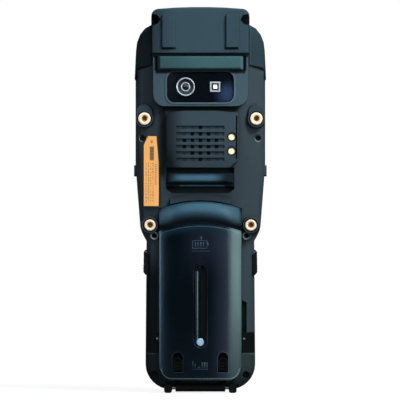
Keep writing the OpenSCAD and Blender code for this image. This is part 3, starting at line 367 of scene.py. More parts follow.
def battery_painted_light(finish, body):
    """Painted light: a reflection on the duller roll, highlights on a fine step and the lower rim, a violet
    sheen.
    """
    strength = 0.7
    roll_fall = 8.84    # the roll's lower edge is this times x squared lower away from the middle
    corner_x, corner_z = 0.0154, 0.0129
    x, z = finish.x, finish.z
    out = x.size()
    arch = z + x ** 2 * roll_fall
    # a painted reflection on the roll, fainter to the left
    crest = arch.ramp(0.0917, 0.0965) * (1 - out.ramp(0.0198, 0.0214)) * 0.7
    crest = crest * (x.ramp(-0.024, -0.012) * 0.6 + 0.4)
    # a painted highlight along the fine step, and a painted glow fading below it
    step = arch.ramp(0.0879, 0.0884) * (1 - arch.ramp(0.0884, 0.0889)) * 0.9
    glow = arch.ramp(0.084, 0.0882) * (1 - arch.ramp(0.0882, 0.0887)) * 0.28
    # a painted violet sheen on the right and in the upper middle, below the roll
    side = x.ramp(0.004, 0.0145) * (1 - x.ramp(0.015, 0.018))
    upper = z.ramp(0.056, 0.08) * x.ramp(-0.013, 0.0) * (1 - x.ramp(0.006, 0.016))
    below_roll = 1 - arch.ramp(0.084, 0.088)
    # the painted sheen's colour, then that of the painted reflection and highlights
    body = finish.mix(body, colour("#343a4f"), (side * 0.34 + upper * 0.2) * below_roll * strength)
    body = finish.mix(body, colour("#2c4a5b"), (crest + step + glow) * strength)
    # a painted highlight line round the lower rim
    from_corner = ((out - corner_x).math("MAXIMUM", 0) ** 2 + (corner_z - z).math("MAXIMUM", 0) ** 2) ** 0.5
    rim = from_corner.between(0.0049, 0.0054) * (z < corner_z)
    duller = z.ramp(0.0875, 0.0905) * (out.ramp(0.0125, 0.0185) * 0.35 + 0.2)
    return body, rim * strength, duller * strength


def rubber(name, hex_code):
    """Soft rubber: matt, pitted, with a little dust in the pits."""
    finish = Finish(name, colour(hex_code), 0.75, Specular_IOR_Level=0.16)
    pits = finish.cells(1500)
    dust = finish.noise(120, detail=5)
    finish.feed(Base_Color=finish.mix(finish.shade(0.85), finish.shade(1.5), dust.ramp(0.4, 0.75) * 0.5),
                Roughness=dust * 0.2 + 0.65)
    finish.bump(pits, 0.00003, 0.6)


def metal(name, hex_code, roughness, metallic, stretch=(1, 1, 1), tarnish=0.3):
    """Turned or pressed metal: fine tool marks and a patchy tarnish."""
    finish = Finish(name, colour(hex_code), roughness, metallic)
    marks = finish.noise(1400, detail=3, stretch=stretch)
    patches = finish.noise(260, detail=4)
    stained = patches.ramp(0.45, 0.75) * tarnish
    tooled = finish.mix(finish.base, finish.shade(0.8), marks)
    finish.feed(Base_Color=finish.mix(tooled, finish.shade(0.45), stained),
                Roughness=marks * 0.14 + stained * 0.3 + (roughness - 0.07))
    finish.bump(marks, 0.000006)


def smooth_glass(name, hex_code, roughness=0.06, coat=0.6, specular=0.6):
    """Dark coated glass or clear plastic with faint wipe marks; gives its Finish, to work on further."""
    finish = Finish(name, colour(hex_code), roughness, Specular_IOR_Level=specular, Coat_Roughness=0.03,
                    Coat_Weight=coat)
    wipes = finish.noise(45, detail=5, stretch=(1, 1, 0.25))
    specks = 1 - finish.cells(420).ramp(0.02, 0.05)
    finish.feed(Base_Color=finish.mix(finish.shade(0.8), finish.shade(1.4), wipes),
                Roughness=wipes.ramp(0.4, 0.8) * 0.1 + specks * 0.2 + roughness)
    finish.bump(wipes, 0.000004)
    return finish


def coated_window(name):
    """The camera window's coated glass: blue-black, with a painted violet reflection towards its lower
    right.
    """
    finish = smooth_glass(name, "#04060c")
    near = ((finish.x - 0.0145) ** 2 + (finish.z - 0.158) ** 2) ** 0.5
    # a patchy painted reflection near the lower right
    sheen = (1 - near.ramp(0.0005, 0.0085)) * (finish.noise(300, detail=2) * 0.4 + 0.35)
    ground = finish.mix(finish.shade(0.8), finish.shade(1.5), finish.noise(45, detail=4))
    finish.feed(Base_Color=finish.mix(ground, colour("#2c3c5e"), sheen * (finish.z < 0.18)))


def film(name, hex_code):
    """Printed label film: orange ground, a dark bar block and faint rows of short bars, no words."""
    finish = Finish(name, colour(hex_code), 0.38)
    low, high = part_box("rating_label")
    up = (finish.z - low.z) / (high.z - low.z)
    across = (finish.x - low.x) / (high.x - low.x)
    ink = colour("#4a4426")
    faint = colour("#9a5f2c")
    block = across.between(0.4, 0.68) * up.between(0.655, 0.85)
    bars = (finish.z * 8200 + finish.noise(400, detail=1) * 6).wave().ramp(-0.9, -0.3) * 0.35 + 0.65
    dashes = (finish.z * 4200 + finish.noise(900, detail=2) * 14).wave() > 0.1
    columns = (finish.x * 5200).wave() > 0.25
    rows = dashes * columns * across.between(0.12, 0.7) * up.between(0.05, 0.62)
    strip = ((finish.z * 6100).wave() > -0.3) * across.between(0.75, 0.86) * up.between(0.3, 0.61)
    spot = across.between(0.46, 0.6) * up.between(0.9, 0.94)
    fibre = finish.noise(1700, detail=3)
    mottle = finish.noise(60, detail=4) * 0.6 + fibre * 0.4
    ground = finish.mix(finish.shade(0.9), finish.shade(1.08), mottle)
    ground = finish.mix(ground, faint, rows * 0.85)
    finish.feed(Base_Color=finish.mix(ground, ink, block * bars + spot * 0.6 + strip * 0.55),
                Roughness=fibre * 0.12 + 0.32)
    finish.bump(fibre, 0.000006)


def board_green(name):
    """Solder mask over copper tracks."""
    finish = Finish(name, colour("#1f5a3a"), 0.35)
    lanes = (finish.x * 1400).fraction() > 0.55
    breaks = (finish.z * 300 + finish.noise(90) * 2).fraction() > 0.3
    tracks = lanes * breaks
    mottle = finish.noise(300)
    mask = finish.mix(finish.shade(0.8), finish.shade(1.15), mottle)
    finish.feed(Base_Color=finish.mix(mask, finish.shade(1.7), tracks * 0.6), Roughness=mottle * 0.15 + 0.3)
    finish.bump(tracks, 0.00003)


def woven_mesh(name):
    """Fine black acoustic mesh."""
    finish = Finish(name, colour("#07090b"), 0.7, Specular_IOR_Level=0.1)
    threads = 9000
    warp = (finish.x * threads).wave().size()
    weft = (finish.z * threads).wave().size()
    weave = warp * weft
    tone = finish.noise(500)
    finish.feed(Base_Color=finish.mix(finish.shade(0.4), finish.shade(1.8), weave * (tone * 0.5 + 0.75)),
                Roughness=tone * 0.2 + 0.5)
    finish.bump(weave, 0.00005)


def display_glass(name):
    """The cover glass: a black printed border round a slightly paler screen."""
    finish = smooth_glass(name, "#05070a")
    low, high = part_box("display_module")
    margin = 2.4 * MM
    screen = (finish.x.between(low.x + margin, high.x - margin)
              * finish.z.between(low.z + margin, high.z - margin) * (finish.y > 0))
    border = finish.mix(finish.shade(0.7), finish.shade(1.2), finish.noise(30, detail=2))
    finish.feed(Base_Color=finish.mix(border, colour("#0d1620"), screen))


# ---------- this object's finishes ----------

MATT = {"Specular_IOR_Level": 0.14}

plastic("housing_plastic", "#232d34", 0.52, **MATT)
plastic("back_plastic", "#232d34", 0.52, zone=housing_shade, line=painted_seam_highlight, lift=1.7, **MATT)
# a paler copy of the frame's plastic: a painted highlight on the window's rim
plastic("rim_plastic", "#3a4953", 0.4, zone=frame_shade, Specular_IOR_Level=0.3)
plastic("cap_plastic", "#24353f", 0.52, zone=cap_shade, **MATT)
plastic("visor_plastic", "#29434a", 0.5, zone=left_shade(-0.02, 0.002, 0.3), **MATT)
# wear set high paints a pale highlight along the bumper's edges; its left takes painted shade
plastic("bumper_plastic", "#1c2529", 0.5, wear_and_highlight=0.9, lift=2.8, zone=left_shade(-0.024, -0.016, 0.7), **MATT)
gloss_black("battery_plastic", "#010308", 0.16, battery_painted_light)
# wear set high paints pale highlight lines along the frame's edges
plastic("frame_plastic", "#2d3e48", 0.5, zone=frame_shade, wear_and_highlight=0.8, lift=2.0, Specular_IOR_Level=0.18)
plastic("panel_plastic", "#28343d", 0.5, recess_shade=0.45, zone=panel_shade, **MATT)
plastic("key_plastic", "#2c353b", 0.45, grain=SATIN, Specular_IOR_Level=0.3)
plastic("scan_key_plastic", "#e0822a", 0.42, grain=SATIN, lift=1.2)
plastic("inner_plastic", "#14181c", 0.6)
rubber("cover_rubber", "#080b0d")
rubber("mat_rubber", "#23292e")
rubber("seal_rubber", "#7c3122")
# the bar's blue is its painted highlight colour; bar_shade paints shade over the rest
plastic("bar_steel", "#314e62", 0.48, recess_shade=0.5, zone=bar_shade, Specular_IOR_Level=0.12)
metal("insert_brass", "#f2dac2", 0.34, 0.35, stretch=(1, 0.05, 1), tarnish=0.12)
metal("thread_brass", "#a86c33", 0.5, 0.3)
metal("gold_contact", "#fff3c4", 0.3, 0.35, tarnish=0.1)
metal("screw_steel", "#171a1c", 0.3, 0.8)
metal("collar_steel", "#646e76", 0.4, 0.3, stretch=(1, 0.1, 1))
metal("pin_steel", "#8f9498", 0.3, 0.9, stretch=(0.05, 1, 1))
metal("ring_metal", "#bcc2ca", 0.26, 0.5, stretch=(1, 0.1, 1), tarnish=0.08)
metal("barrel_black", "#3a3e45", 0.3, 0.8, stretch=(1, 0.1, 1))
metal("display_metal", "#787d82", 0.45, 0.9)
metal("socket_metal", "#a9adb2", 0.35, 0.9)
film("label_film", "#f8ab57")
coated_window("window_glass")
smooth_glass("scan_glass", "#3a0c0e", 0.34, coat=0, specular=0.12)
smooth_glass("lens_glass", "#0a0f1c", 0.03)
display_glass("display_glass")
plastic("lens_pale", "#86a5c4", 0.25, grain=SMOOTH, recess_shade=0.3)
plastic("green_lens", "#5f8f68", 0.3, grain=SMOOTH)
woven_mesh("mesh_black")
plastic("module_grey", "#4d5257", 0.5)
board_green("board_green")
plastic("cell_wrap", "#3f6486", 0.3, grain=SMOOTH)
plastic("switch_white", "#b9b9b3", 0.5)
plastic("die_bright", "#fdfff0", 0.4, grain=SMOOTH, lift=1.0, recess_shade=0)
plastic("legend_white", "#c9cfd2", 0.5, grain=SMOOTH)
plastic("mark_dark", "#0c1014", 0.45, grain=SMOOTH)
# paler than the battery: a painted highlight on the raised marks
gloss_black("mark_pale", "#121b26", 0.3)
rubber("rib_rubber", "#040607")


# ---------- mesh helpers ----------

def finished(name, shape, body, slot, *materials):
    """Turns a bmesh into a piece that rides on a body."""
    mesh = bpy.data.meshes.new(name)
    shape.to_mesh(mesh)
    shape.free()
    for made in materials:
        mesh.materials.append(MATERIALS[made])
    mesh.shade_smooth()
    mesh.set_sharp_from_angle(angle=SHARP)
    piece = bpy.data.objects.new(name, mesh)
    bpy.context.scene.collection.objects.link(piece)
    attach(piece, body)
    return piece


def detail(name, shape, node, *materials, slot_node=None):
    """Finishes a shape drawn in millimetres, as a piece on a node's body; it looks up the node's slot or
    slot_node's, which finished does not use.
    """
    bmesh.ops.remove_doubles(shape, verts=shape.verts, dist=0.0005)
    bmesh.ops.recalc_face_normals(shape, faces=shape.faces)
    bmesh.ops.scale(shape, vec=(MM, MM, MM), verts=shape.verts)
    return finished(name, shape, BODY_OF[node], SLOT_OF[slot_node or node], *materials)


def merged(node):
    """A node's shape as one joined mesh with its flat faces whole."""
    shape = bmesh.new()
    shape.from_mesh(frame["nodes"][node].data)
    bmesh.ops.remove_doubles(shape, verts=shape.verts, dist=0.002 * MM)
    bmesh.ops.dissolve_limit(shape, angle_limit=math.radians(0.6), verts=shape.verts, edges=shape.edges)
    return shape


def round_edges(shape, edges, radius, segments=2):
    """Bevels the edges, with the radius in the shape's own units."""
    bmesh.ops.bevel(shape, geom=edges, offset=radius, offset_type="OFFSET", affect="EDGES",
                    segments=segments, profile=0.5, material=-1, clamp_overlap=True)


def sharp_edges(shape):
    return [edge for edge in shape.edges if len(edge.link_faces) == 2 and edge.calc_face_angle() > SHARP]


def dress(node, radius, materials, prepare=None):
    """Puts the node's own shape in its place, its sharp edges rounded after prepare has worked on it."""
    shape = merged(node)
    if prepare:
        prepare(shape)
    round_edges(shape, sharp_edges(shape), radius * MM)
    piece = finished(node + "_shell", shape, BODY_OF[node], SLOT_OF[node], *materials)
    weighted = piece.modifiers.new("even_shading", "WEIGHTED_NORMAL")
    weighted.keep_sharp = True
    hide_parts(node)


def turned(shape, profile, x, z, front, material=0, steps=40):
    """Spins a profile of radii and depths behind the front round an axis along Y."""
    before = set(shape.faces)
    points = [shape.verts.new((x + radius, front + depth, z)) for radius, depth in profile]
    edges = [shape.edges.new(pair) for pair in zip(points, points[1:])]
    bmesh.ops.spin(shape, geom=points + edges, cent=(x, 0, z), axis=(0, 1, 0), angle=math.tau, steps=steps,
                   use_merge=True)
    for face in shape.faces:
        if face not in before:
            face.material_index = material


def bar(shape, low, high, bevel=0.05, material=0):
    """A small moulded bar between two corners, its edges softened."""
    made = bmesh.ops.create_cube(shape, size=1)["verts"]
    bmesh.ops.scale(shape, vec=Vector(high) - Vector(low), verts=made)
    bmesh.ops.translate(shape, vec=(Vector(high) + Vector(low)) / 2, verts=made)
    for face in {face for vert in made for face in vert.link_faces}:
        face.material_index = material
    round_edges(shape, list({edge for vert in made for edge in vert.link_edges}), bevel)


def arrowhead(shape, x, z, size, turn, y0, y1):
    """A three-cornered plate from y0 to y1 that points up, then turned about Y."""
    made = bmesh.ops.create_circle(shape, segments=3, radius=size, cap_ends=True)["verts"]
    bmesh.ops.rotate(shape, verts=made, matrix=Matrix.Rotation(math.radians(90), 3, "X"))
    bmesh.ops.rotate(shape, verts=made, matrix=Matrix.Rotation(math.radians(turn), 3, "Y"))
    bmesh.ops.translate(shape, vec=(x, y0, z), verts=made)
    extruded = bmesh.ops.extrude_face_region(shape, geom=[made[0].link_faces[0]])["geom"]
    top = [part for part in extruded if isinstance(part, bmesh.types.BMVert)]
    bmesh.ops.translate(shape, vec=(0, y1 - y0, 0), verts=top)


# ---------- the CAD pieces, rounded and coloured ----------

KEYS = [node for node in frame["nodes"] if node.startswith("key_")]


def prepare_battery(shape):
    """The battery's outer rim is rounder than the rest, and one wall of its groove is a matt black, as
    painted shade.
    """
    rim = []
    for edge in sharp_edges(shape):
        facing = [face.normal.y for face in edge.link_faces]
        at = (edge.verts[0].co + edge.verts[1].co) / 2 / MM
        on_face = at.y < -10.9 and min(facing) < -0.6 and min(abs(y) for y in facing) < 0.25
        at_rim = abs(at.x) > 21.2 or at.z < 7.5 or (at.z < 16 and abs(at.x) > 15.8)
        if on_face and at_rim:
            rim.append(edge)
    round_edges(shape, rim, 0.75 * MM, 4)
    for face in shape.faces:
        at = face.calc_center_median() / MM
        if 0 < at.x < 3.8 and 20 < at.z < 70 and face.normal.x < -0.08:
            face.material_index = 1


def prepare_bumper(shape):
    """The two standing ribs are a blacker rubber, as painted shade."""
    for face in shape.faces:
        at = face.calc_center_median() / MM
        if at.z < 4.9 and 14.5 < abs(at.x) < 20.5:
            face.material_index = 1


def prepare_flash(shape):
    """A bright die in a dark pit, in its square frame."""
    for face in shape.faces:
        out = max(max(abs(v.co.x / MM - FLASH_X), abs(v.co.z / MM - EYE_Z)) for v in face.verts)
        face.material_index = 2 if out < 1.05 else 1 if out < 1.95 else 0


def prepare_frame(shape):
    """The raised rim round the camera window is a paler plastic, as a painted highlight."""
    for face in shape.faces:
        if all(vert.co.y < -15.02 * MM for vert in face.verts):
            face.material_index = 1


# each shell's edge radius in millimetres, its materials, and what works on it before its edges are rounded
SHELLS = {
    "back_housing": (0.3, ("back_plastic",), None),
    "front_housing": (0.3, ("housing_plastic",), None),
    "bottom_bumper": (0.3, ("bumper_plastic", "rib_rubber"), prepare_bumper),
    "head_cap": (0.5, ("cap_plastic",), None),
    "cap_pads": (0.3, ("cap_plastic",), None),
    "window_visor": (0.3, ("visor_plastic",), None),
    "camera_frame": (0.3, ("frame_plastic", "rim_plastic"), prepare_frame),
    "speaker_panel": (0.2, ("panel_plastic",), None),
    "strap_bar": (0.9, ("bar_steel",), None),
    "battery_shell": (0.3, ("battery_plastic", "rib_rubber"), prepare_battery),
    "latch_left": (0.25, ("rib_rubber",), None),
    "latch_right": (0.25, ("rib_rubber",), None),
    "side_key_left": (0.25, ("key_plastic",), None),
    "side_key_right": (0.25, ("key_plastic",), None),
    "side_cover_left": (0.25, ("cover_rubber",), None),
    "side_cover_right": (0.25, ("cover_rubber",), None),
    "connector_cover": (0.2, ("cover_rubber",), None),
    "scan_key": (0.35, ("scan_key_plastic",), None),
    "nav_rocker": (0.35, ("key_plastic",), None),
    "grip_contacts": (0.4, ("gold_contact",), None),
    "housing_screws": (0.15, ("screw_steel",), None),
    "flash_led": (0.12, ("ring_metal", "mark_dark", "die_bright"), prepare_flash),
    "charge_lens": (0.5, ("lens_pale",), None),
    **{node: (0.35, ("key_plastic",), None) for node in KEYS},
}
# nodes that keep their own mesh and only take a material
PLAIN = {
    "housing_seal": "seal_rubber", "scan_window": "scan_glass", "scan_engine": "inner_plastic",
    "camera_window": "window_glass", "speaker_mesh": "mesh_black", "speaker_driver": "module_grey",
    "rating_label": "label_film", "dock_connector": "inner_plastic", "hinge_pins": "pin_steel",
    "usb_socket": "socket_metal", "audio_socket": "inner_plastic", "side_switches": "switch_white",
    "main_board": "board_green", "display_module": "display_metal", "cover_glass": "display_glass",
    "keypad_mat": "mat_rubber", "battery_contacts": "gold_contact", "indicator_lens": "green_lens",
    "battery_base": "inner_plastic", "battery_cells": "cell_wrap", "battery_pads": "gold_contact",
}
for node, (radius, materials, prepare) in SHELLS.items():
    dress(node, radius, materials, prepare)
for node, material in PLAIN.items():
    slots = frame["nodes"][node].data.materials
    slots.clear()
    slots.append(MATERIALS[material])


# ---------- turned metal and glass ----------

def inserts():
    """Four brass inserts: a domed collar, a countersunk mouth and a threaded bore."""
    shape = bmesh.new()
    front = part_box("threaded_inserts")[0].y / MM
    thread = [(1.02 + 0.18 * (k % 2), 2.6 - 0.25 * k) for k in range(8)]
    for x, z, radius in ((-29.6, 145.1, 3.3), (29.6, 145.1, 3.3), (-26.7, 88.8, 3.0), (26.7, 88.8, 3.0)):
        turned(shape, [(0, 2.6), *thread, (1.2, 0.7), (1.6, 0.35)], x, z, front, material=1)
        turned(shape, [(1.6, 0.35), (1.85, 0.1), (2.2, 0), (radius - 0.45, 0.02), (radius - 0.15, 0.12),
                       (radius, 0.4), (radius, 4), (0, 4)], x, z, front)
    piece = detail("brass_inserts", shape, "threaded_inserts", "insert_brass", "thread_brass")
    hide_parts("threaded_inserts")


def lens():
    """A bright ring, a stepped dark barrel with a fine inner ring, and the domed glass."""
    outer_ring = [(4.9, 2.4), (4.9, 0.3), (4.8, 0.1), (4.6, 0), (4.35, 0.06), (4.2, 0.25), (4.15, 0.6)]
    steps = [(4.15, 0.6), (3.75, 0.7), (3.65, 0.95), (3.2, 1.0), (3.15, 1.2), (2.75, 1.25), (2.7, 1.4),
             (2.45, 1.42)]
    inner_ring = [(2.45, 1.42), (2.4, 1.0), (2.2, 0.9), (1.98, 1.0), (1.95, 1.45)]
    back = [(1.95, 1.45), (1.95, 2.4), (4.9, 2.4)]
    dome = [(0, 1.0), (0.5, 1.02), (1.0, 1.1), (1.5, 1.25), (1.93, 1.45), (1.93, 2.3), (0, 2.3)]
    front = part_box("camera_ring")[0].y / MM
    shape = bmesh.new()
    for profile, material in ((outer_ring, 0), (steps, 1), (inner_ring, 0), (back, 1)):
        turned(shape, profile, EYE_X, EYE_Z, front, material)
    barrel = detail("lens_barrel", shape, "camera_ring", "ring_metal", "barrel_black")
    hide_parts("camera_ring")
    shape = bmesh.new()
    turned(shape, dome, EYE_X, EYE_Z, front)
    eye = detail("lens_eye", shape, "camera_lens", "lens_glass")
    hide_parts("camera_lens")


def housing_skin():
    """Gives a function for the depth of the back housing's skin at a place, all in millimetres."""
    skin = BVHTree.FromObject(bpy.data.objects["back_housing_shell"], bpy.context.evaluated_depsgraph_get())
    return lambda x, z: skin.ray_cast(Vector((x * MM, -0.1, z * MM)), Vector((0, 1, 0)))[0].y / MM


def studs():
    """Two steel studs beside the battery's lower end."""
    shape = bmesh.new()
    depth_at = housing_skin()
    z = 28.6
    for x in (-22.7, 23.0):
        turned(shape, [(0, -0.3), (0.35, -0.27), (0.6, -0.12), (0.72, 0.08), (0.72, 0.6), (0, 0.6)],
               x, z, depth_at(x, z), steps=24)
    detail("side_studs", shape, "back_housing", "pin_steel", slot_node="housing_screws")


def screw_collars():
    """A coned steel collar part way down each of the four upper screw recesses."""
    shape = bmesh.new()
    depth_at = housing_skin()
    beside = 2.6
    for x, z in ((-30.6, 134.8), (30.6, 134.8), (-24.4, 83.2), (24.4, 83.2)):
        turned(shape, [(2.04, 2.2), (2.04, 0.75), (1.95, 0.7), (1.3, 1.9), (1.3, 2.2), (2.04, 2.2)],
               x, z, depth_at(x, z + beside), steps=28)
    detail("screw_collars", shape, "back_housing", "collar_steel", slot_node="housing_screws")


# ---------- marks on the battery ----------

CROWN_RADIUS = 53.5


def follow_crown(shape):
    """Bends flat marks on to the battery's crowned face."""
    for vert in shape.verts:
        vert.co.y += vert.co.x ** 2 / (2 * CROWN_RADIUS)


def battery_marks():
    """A raised battery pictogram over a rule, and a row of short bars over a rule between the latches."""
    back, front = -15.9, -16.1
    rule = [(-4.6, 75.0, 4.8, 75.22)]
    outline = [(-4.3, 76.4, 3.6, 76.75), (-4.3, 80.35, 3.6, 80.7), (-4.3, 76.4, -3.95, 80.7),
               (3.25, 76.4, 3.6, 80.7), (3.6, 77.7, 4.3, 79.4)]
    charge = [(x, 77.4, x + 0.6, 79.7) for x in (-2.9, -1.5, -0.1, 1.3)]
    arrow_stem = [(0.2, 80.7, 0.7, 82.4)]
    lower_rule = [(-4.4, 12.7, 4.2, 12.9)]
    short_bars = [(-4.2, 13.6, -3.8, 16.9), (-2.9, 13.6, -2.5, 15.4), (-1.2, 13.6, -0.2, 14.0),
                  (0.7, 13.6, 1.2, 16.4), (1.9, 13.6, 2.6, 16.4), (3.3, 13.6, 3.7, 16.4)]
    shape = bmesh.new()
    for left, foot, right, top in rule + outline + charge + arrow_stem + lower_rule + short_bars:
        bar(shape, (left, front, foot), (right, back, top))
    arrowhead(shape, 0.45, 82.6, 0.9, 0, back, front)
    for cut in range(-4, 5):
        everything = shape.verts[:] + shape.edges[:] + shape.faces[:]
        bmesh.ops.bisect_plane(shape, geom=everything, plane_co=(cut, 0, 0), plane_no=(1, 0, 0))
    follow_crown(shape)
    detail("battery_marks", shape, "battery_shell", "mark_pale")


# ---------- the keypad side ----------

def legend(shape, words, x, y, z, size):
    """Adds plain raised characters that read from the keypad side."""
    curve = bpy.data.curves.new("legend", "FONT")
    curve.body = words
    curve.size = size
    curve.align_x = "CENTER"
    curve.align_y = "CENTER"
    curve.resolution_u = 6
    curve.extrude = 0.1
    holder = bpy.data.objects.new("legend", curve)
    bpy.context.scene.collection.objects.link(holder)
    bpy.context.view_layer.update()
    mesh = bpy.data.meshes.new_from_object(holder)
    before = set(shape.verts)
    shape.from_mesh(mesh)
    added = [vert for vert in shape.verts if vert not in before]
    upright_from_keypad = Matrix(((-1, 0, 0), (0, 0, 1), (0, 1, 0)))
    bmesh.ops.rotate(shape, verts=added, matrix=upright_from_keypad)
    bmesh.ops.translate(shape, vec=(x, y, z), verts=added)
    bpy.data.objects.remove(holder)
    bpy.data.curves.remove(curve)
    bpy.data.meshes.remove(mesh)


def key_legends():
    """A digit or an arrow on each key."""
    for node in KEYS:
        low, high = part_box(node)
        x, z, face = (low.x + high.x) / 2 / MM, (low.z + high.z) / 2 / MM, high.y / MM
        shape = bmesh.new()
        word = node.removeprefix("key_")
        if word in ("left", "right"):
            # seen from the keypad side, the arrow's left is +X
            arrowhead(shape, x, z, 1.5, 90 if word == "left" else -90, face - 0.1, face + 0.04)
        else:
            legend(shape, word, x, face - 0.06, z, 4.6)
        detail(node + "_legend", shape, node, "legend_white")


def scan_key_legend():
    """Seven upright bars on the scan key."""
    shape = bmesh.new()
    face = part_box("scan_key")[1].y / MM
    foot, top = 71.6, 75.4
    for x, width in ((-3.6, 0.8), (-2.3, 0.4), (-1.2, 1.1), (0.3, 0.4), (1.4, 0.9), (2.6, 0.4), (3.6, 0.6)):
        bar(shape, (x - width / 2, face - 0.1, foot), (x + width / 2, face + 0.04, top), 0.02)
    detail("scan_key_legend", shape, "scan_key", "legend_white")


def rocker_legend():
    """Arrows up and down on the rocker."""
    shape = bmesh.new()
    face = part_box("nav_rocker")[1].y / MM
    middle, reach = 58.3, 4.9
    arrowhead(shape, 0, middle + reach, 1.3, 0, face - 0.12, face + 0.03)
    arrowhead(shape, 0, middle - reach, 1.3, 180, face - 0.12, face + 0.03)
    detail("rocker_legend", shape, "nav_rocker", "legend_white")


def ear_mesh():
    """A woven strip behind the earpiece slot, with two stays."""
    shape = bmesh.new()
    bar(shape, (-5.4, 14.4, 172.3), (5.4, 14.8, 174.1), 0.08)
    for x in (-1.7, 1.7):
        bar(shape, (x - 0.18, 14.7, 172.55), (x + 0.18, 15.5, 173.85), 0.06, material=1)
    detail("ear_mesh", shape, "front_housing", "mesh_black", "inner_plastic", slot_node="speaker_mesh")


def cover_grips():
    """Three finger ridges on each side cover."""
    for x, node in ((-30.1, "side_cover_left"), (30.1, "side_cover_right")):
        shape = bmesh.new()
        for z in (64.4, 65.7, 67.0):
            bar(shape, (x - 0.35, 0.6, z - 0.3), (x + 0.22, 7.4, z + 0.3), 0.14)
        detail(node + "_ridges", shape, node, "cover_rubber")


inserts()
lens()
studs()
screw_collars()
battery_marks()
key_legends()
scan_key_legend()
rocker_legend()
ear_mesh()
cover_grips()


# ---------- floor, light, camera ----------

def grey(level):
    return (level, level, level, 1)


def floor():
    """A pale floor that the camera sees as white, that keeps its shadows and lights the object little."""
    shape = bmesh.new()
    bmesh.ops.create_grid(shape, x_segments=1, y_segments=1, size=3.0)
    bmesh.ops.translate(shape, verts=shape.verts, vec=(0, 0, cad_low.z))
    mesh = bpy.data.meshes.new("floor")
    shape.to_mesh(mesh)
    shape.free()
    finish = Finish("floor_pale", grey(0.8), 0.9)
    tree = finish.tree
    away = (finish.x ** 2 + finish.y ** 2) ** 0.5
    seen = finish.node("ShaderNodeLightPath", output="Is Camera Ray")
    mirrored = finish.node("ShaderNodeLightPath", output="Is Glossy Ray")
    unseen = finish.mix(grey(0.16), grey(0.02), mirrored)
    finish.feed(Base_Color=finish.mix(unseen, grey(0.8), seen))
    glowing = seen * (away.ramp(0.05, 0.4) * 0.16 + 0.84) + mirrored * (1 - away.ramp(0.025, 0.05)) * 0.12
    glow = finish.node("ShaderNodeEmission", {}, {"Color": grey(1), "Strength": 1.0})
    both = tree.nodes.new("ShaderNodeMixShader")
    tree.links.new(glowing.socket, both.inputs[0])
    tree.links.new(finish.shader.outputs[0], both.inputs[1])
    tree.links.new(glow.socket, both.inputs[2])
    tree.links.new(both.outputs[0], tree.nodes["Material Output"].inputs[0])
    mesh.materials.append(finish.material)
    plane = bpy.data.objects.new("floor", mesh)
    bpy.context.scene.collection.objects.link(plane)


def world(light, mirror):
    """White where the camera or glass looks past the object, dim grey as light and in reflections."""
    made = bpy.data.worlds.new("studio")
    made.use_nodes = True
    bpy.context.scene.world = made
    tree = made.node_tree
    background = tree.nodes["Background"]
    path = tree.nodes.new("ShaderNodeLightPath")
    show = tree.nodes.new("ShaderNodeMath")
    show.operation = "MAXIMUM"
    tree.links.new(path.outputs["Is Camera Ray"], show.inputs[0])
    tree.links.new(path.outputs["Is Transmission Ray"], show.inputs[1])
    gloss = tree.nodes.new("ShaderNodeMath")
    gloss.operation = "MULTIPLY_ADD"
    gloss.inputs[1].default_value = mirror - light
    gloss.inputs[2].default_value = light
    tree.links.new(path.outputs["Is Glossy Ray"], gloss.inputs[0])
    strength = tree.nodes.new("ShaderNodeMix")
    strength.inputs[3].default_value = 1.0
    tree.links.new(show.outputs[0], strength.inputs[0])
    tree.links.new(gloss.outputs[0], strength.inputs[2])
    tree.links.new(strength.outputs[0], background.inputs["Strength"])
    background.inputs["Color"].default_value = grey(1)


LAMP_TARGET = Vector((0, 0, 0.1))


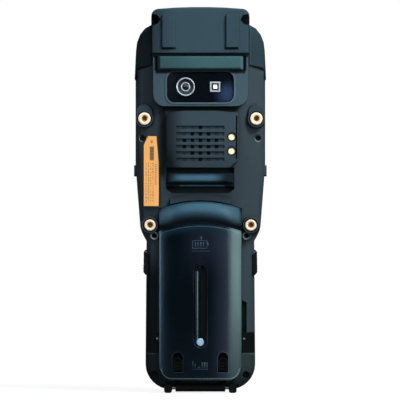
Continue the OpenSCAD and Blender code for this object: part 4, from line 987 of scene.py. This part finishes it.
def lamp(name, place, size, watts, tint=(1, 1, 1), mirrored=True, lights=True):
    """A rectangular lamp aimed at the object's middle; lights is off for one that only shows in gloss."""
    light = bpy.data.lights.new(name, "AREA")
    light.shape = "RECTANGLE"
    light.size, light.size_y = size
    light.energy = watts
    light.color = tint
    holder = bpy.data.objects.new(name, light)
    bpy.context.scene.collection.objects.link(holder)
    holder.visible_camera = False
    holder.visible_glossy = mirrored
    holder.visible_diffuse = lights
    holder.location = place
    holder.rotation_euler = (LAMP_TARGET - Vector(place)).to_track_quat("-Z", "Y").to_euler()


PICTURE_PIXELS = 400
MM_PER_PIXEL = 0.5295
SCALE_DEPTH = 0.008
VIEW_CENTRE_X, VIEW_CENTRE_Z = -0.2 * MM, 102.1 * MM
CAMERA_DISTANCE = 2.6
SENSOR_WIDTH = 36


def camera():
    """Square on to the rear, so far off that it shows no perspective; MM_PER_PIXEL holds at SCALE_DEPTH."""
    optics = bpy.data.cameras.new("camera")
    optics.sensor_width = SENSOR_WIDTH
    picture_width = PICTURE_PIXELS * MM_PER_PIXEL * MM
    optics.lens = SENSOR_WIDTH * (CAMERA_DISTANCE - SCALE_DEPTH) / picture_width
    optics.clip_start = 0.05
    optics.clip_end = 50
    holder = bpy.data.objects.new("camera", optics)
    bpy.context.scene.collection.objects.link(holder)
    holder.location = (VIEW_CENTRE_X, -CAMERA_DISTANCE, VIEW_CENTRE_Z)
    holder.rotation_euler = (math.radians(90), 0, 0)
    bpy.context.scene.camera = holder


floor()
world(0.1, 0.006)
lamp("key_right", (0.31, -0.27, 0.53), (0.2, 0.2), 8.4, (1, 0.97, 0.9), mirrored=False)
lamp("front_soft", (0.5, -1.0, 0.8), (1.0, 1.0), 8.5, (0.64, 0.87, 1), mirrored=False)
lamp("sky_panel", (0.08, -1.08, 0.86), (1.7, 1.45), 11.5, (0.62, 0.85, 1), lights=False)
lamp("right_panel", (0.79, -0.9, 0.1), (0.29, 1.1), 4.0, (1, 1, 0.8))
lamp("right_fill", (1.15, -0.35, 0.12), (0.7, 1.1), 1.0, (1, 1, 0.9))
lamp("left_panel", (-0.99, -0.69, 0.1), (0.32, 1.1), 8, (0.75, 0.9, 1), lights=False)
lamp("back_fill", (-0.3, 1.1, 0.6), (0.8, 0.8), 20, mirrored=False)
lamp("left_fill", (-1.1, 0.42, 0.25), (0.8, 0.8), 7, mirrored=False)
camera()
bpy.context.scene.view_settings.view_transform = "Standard"
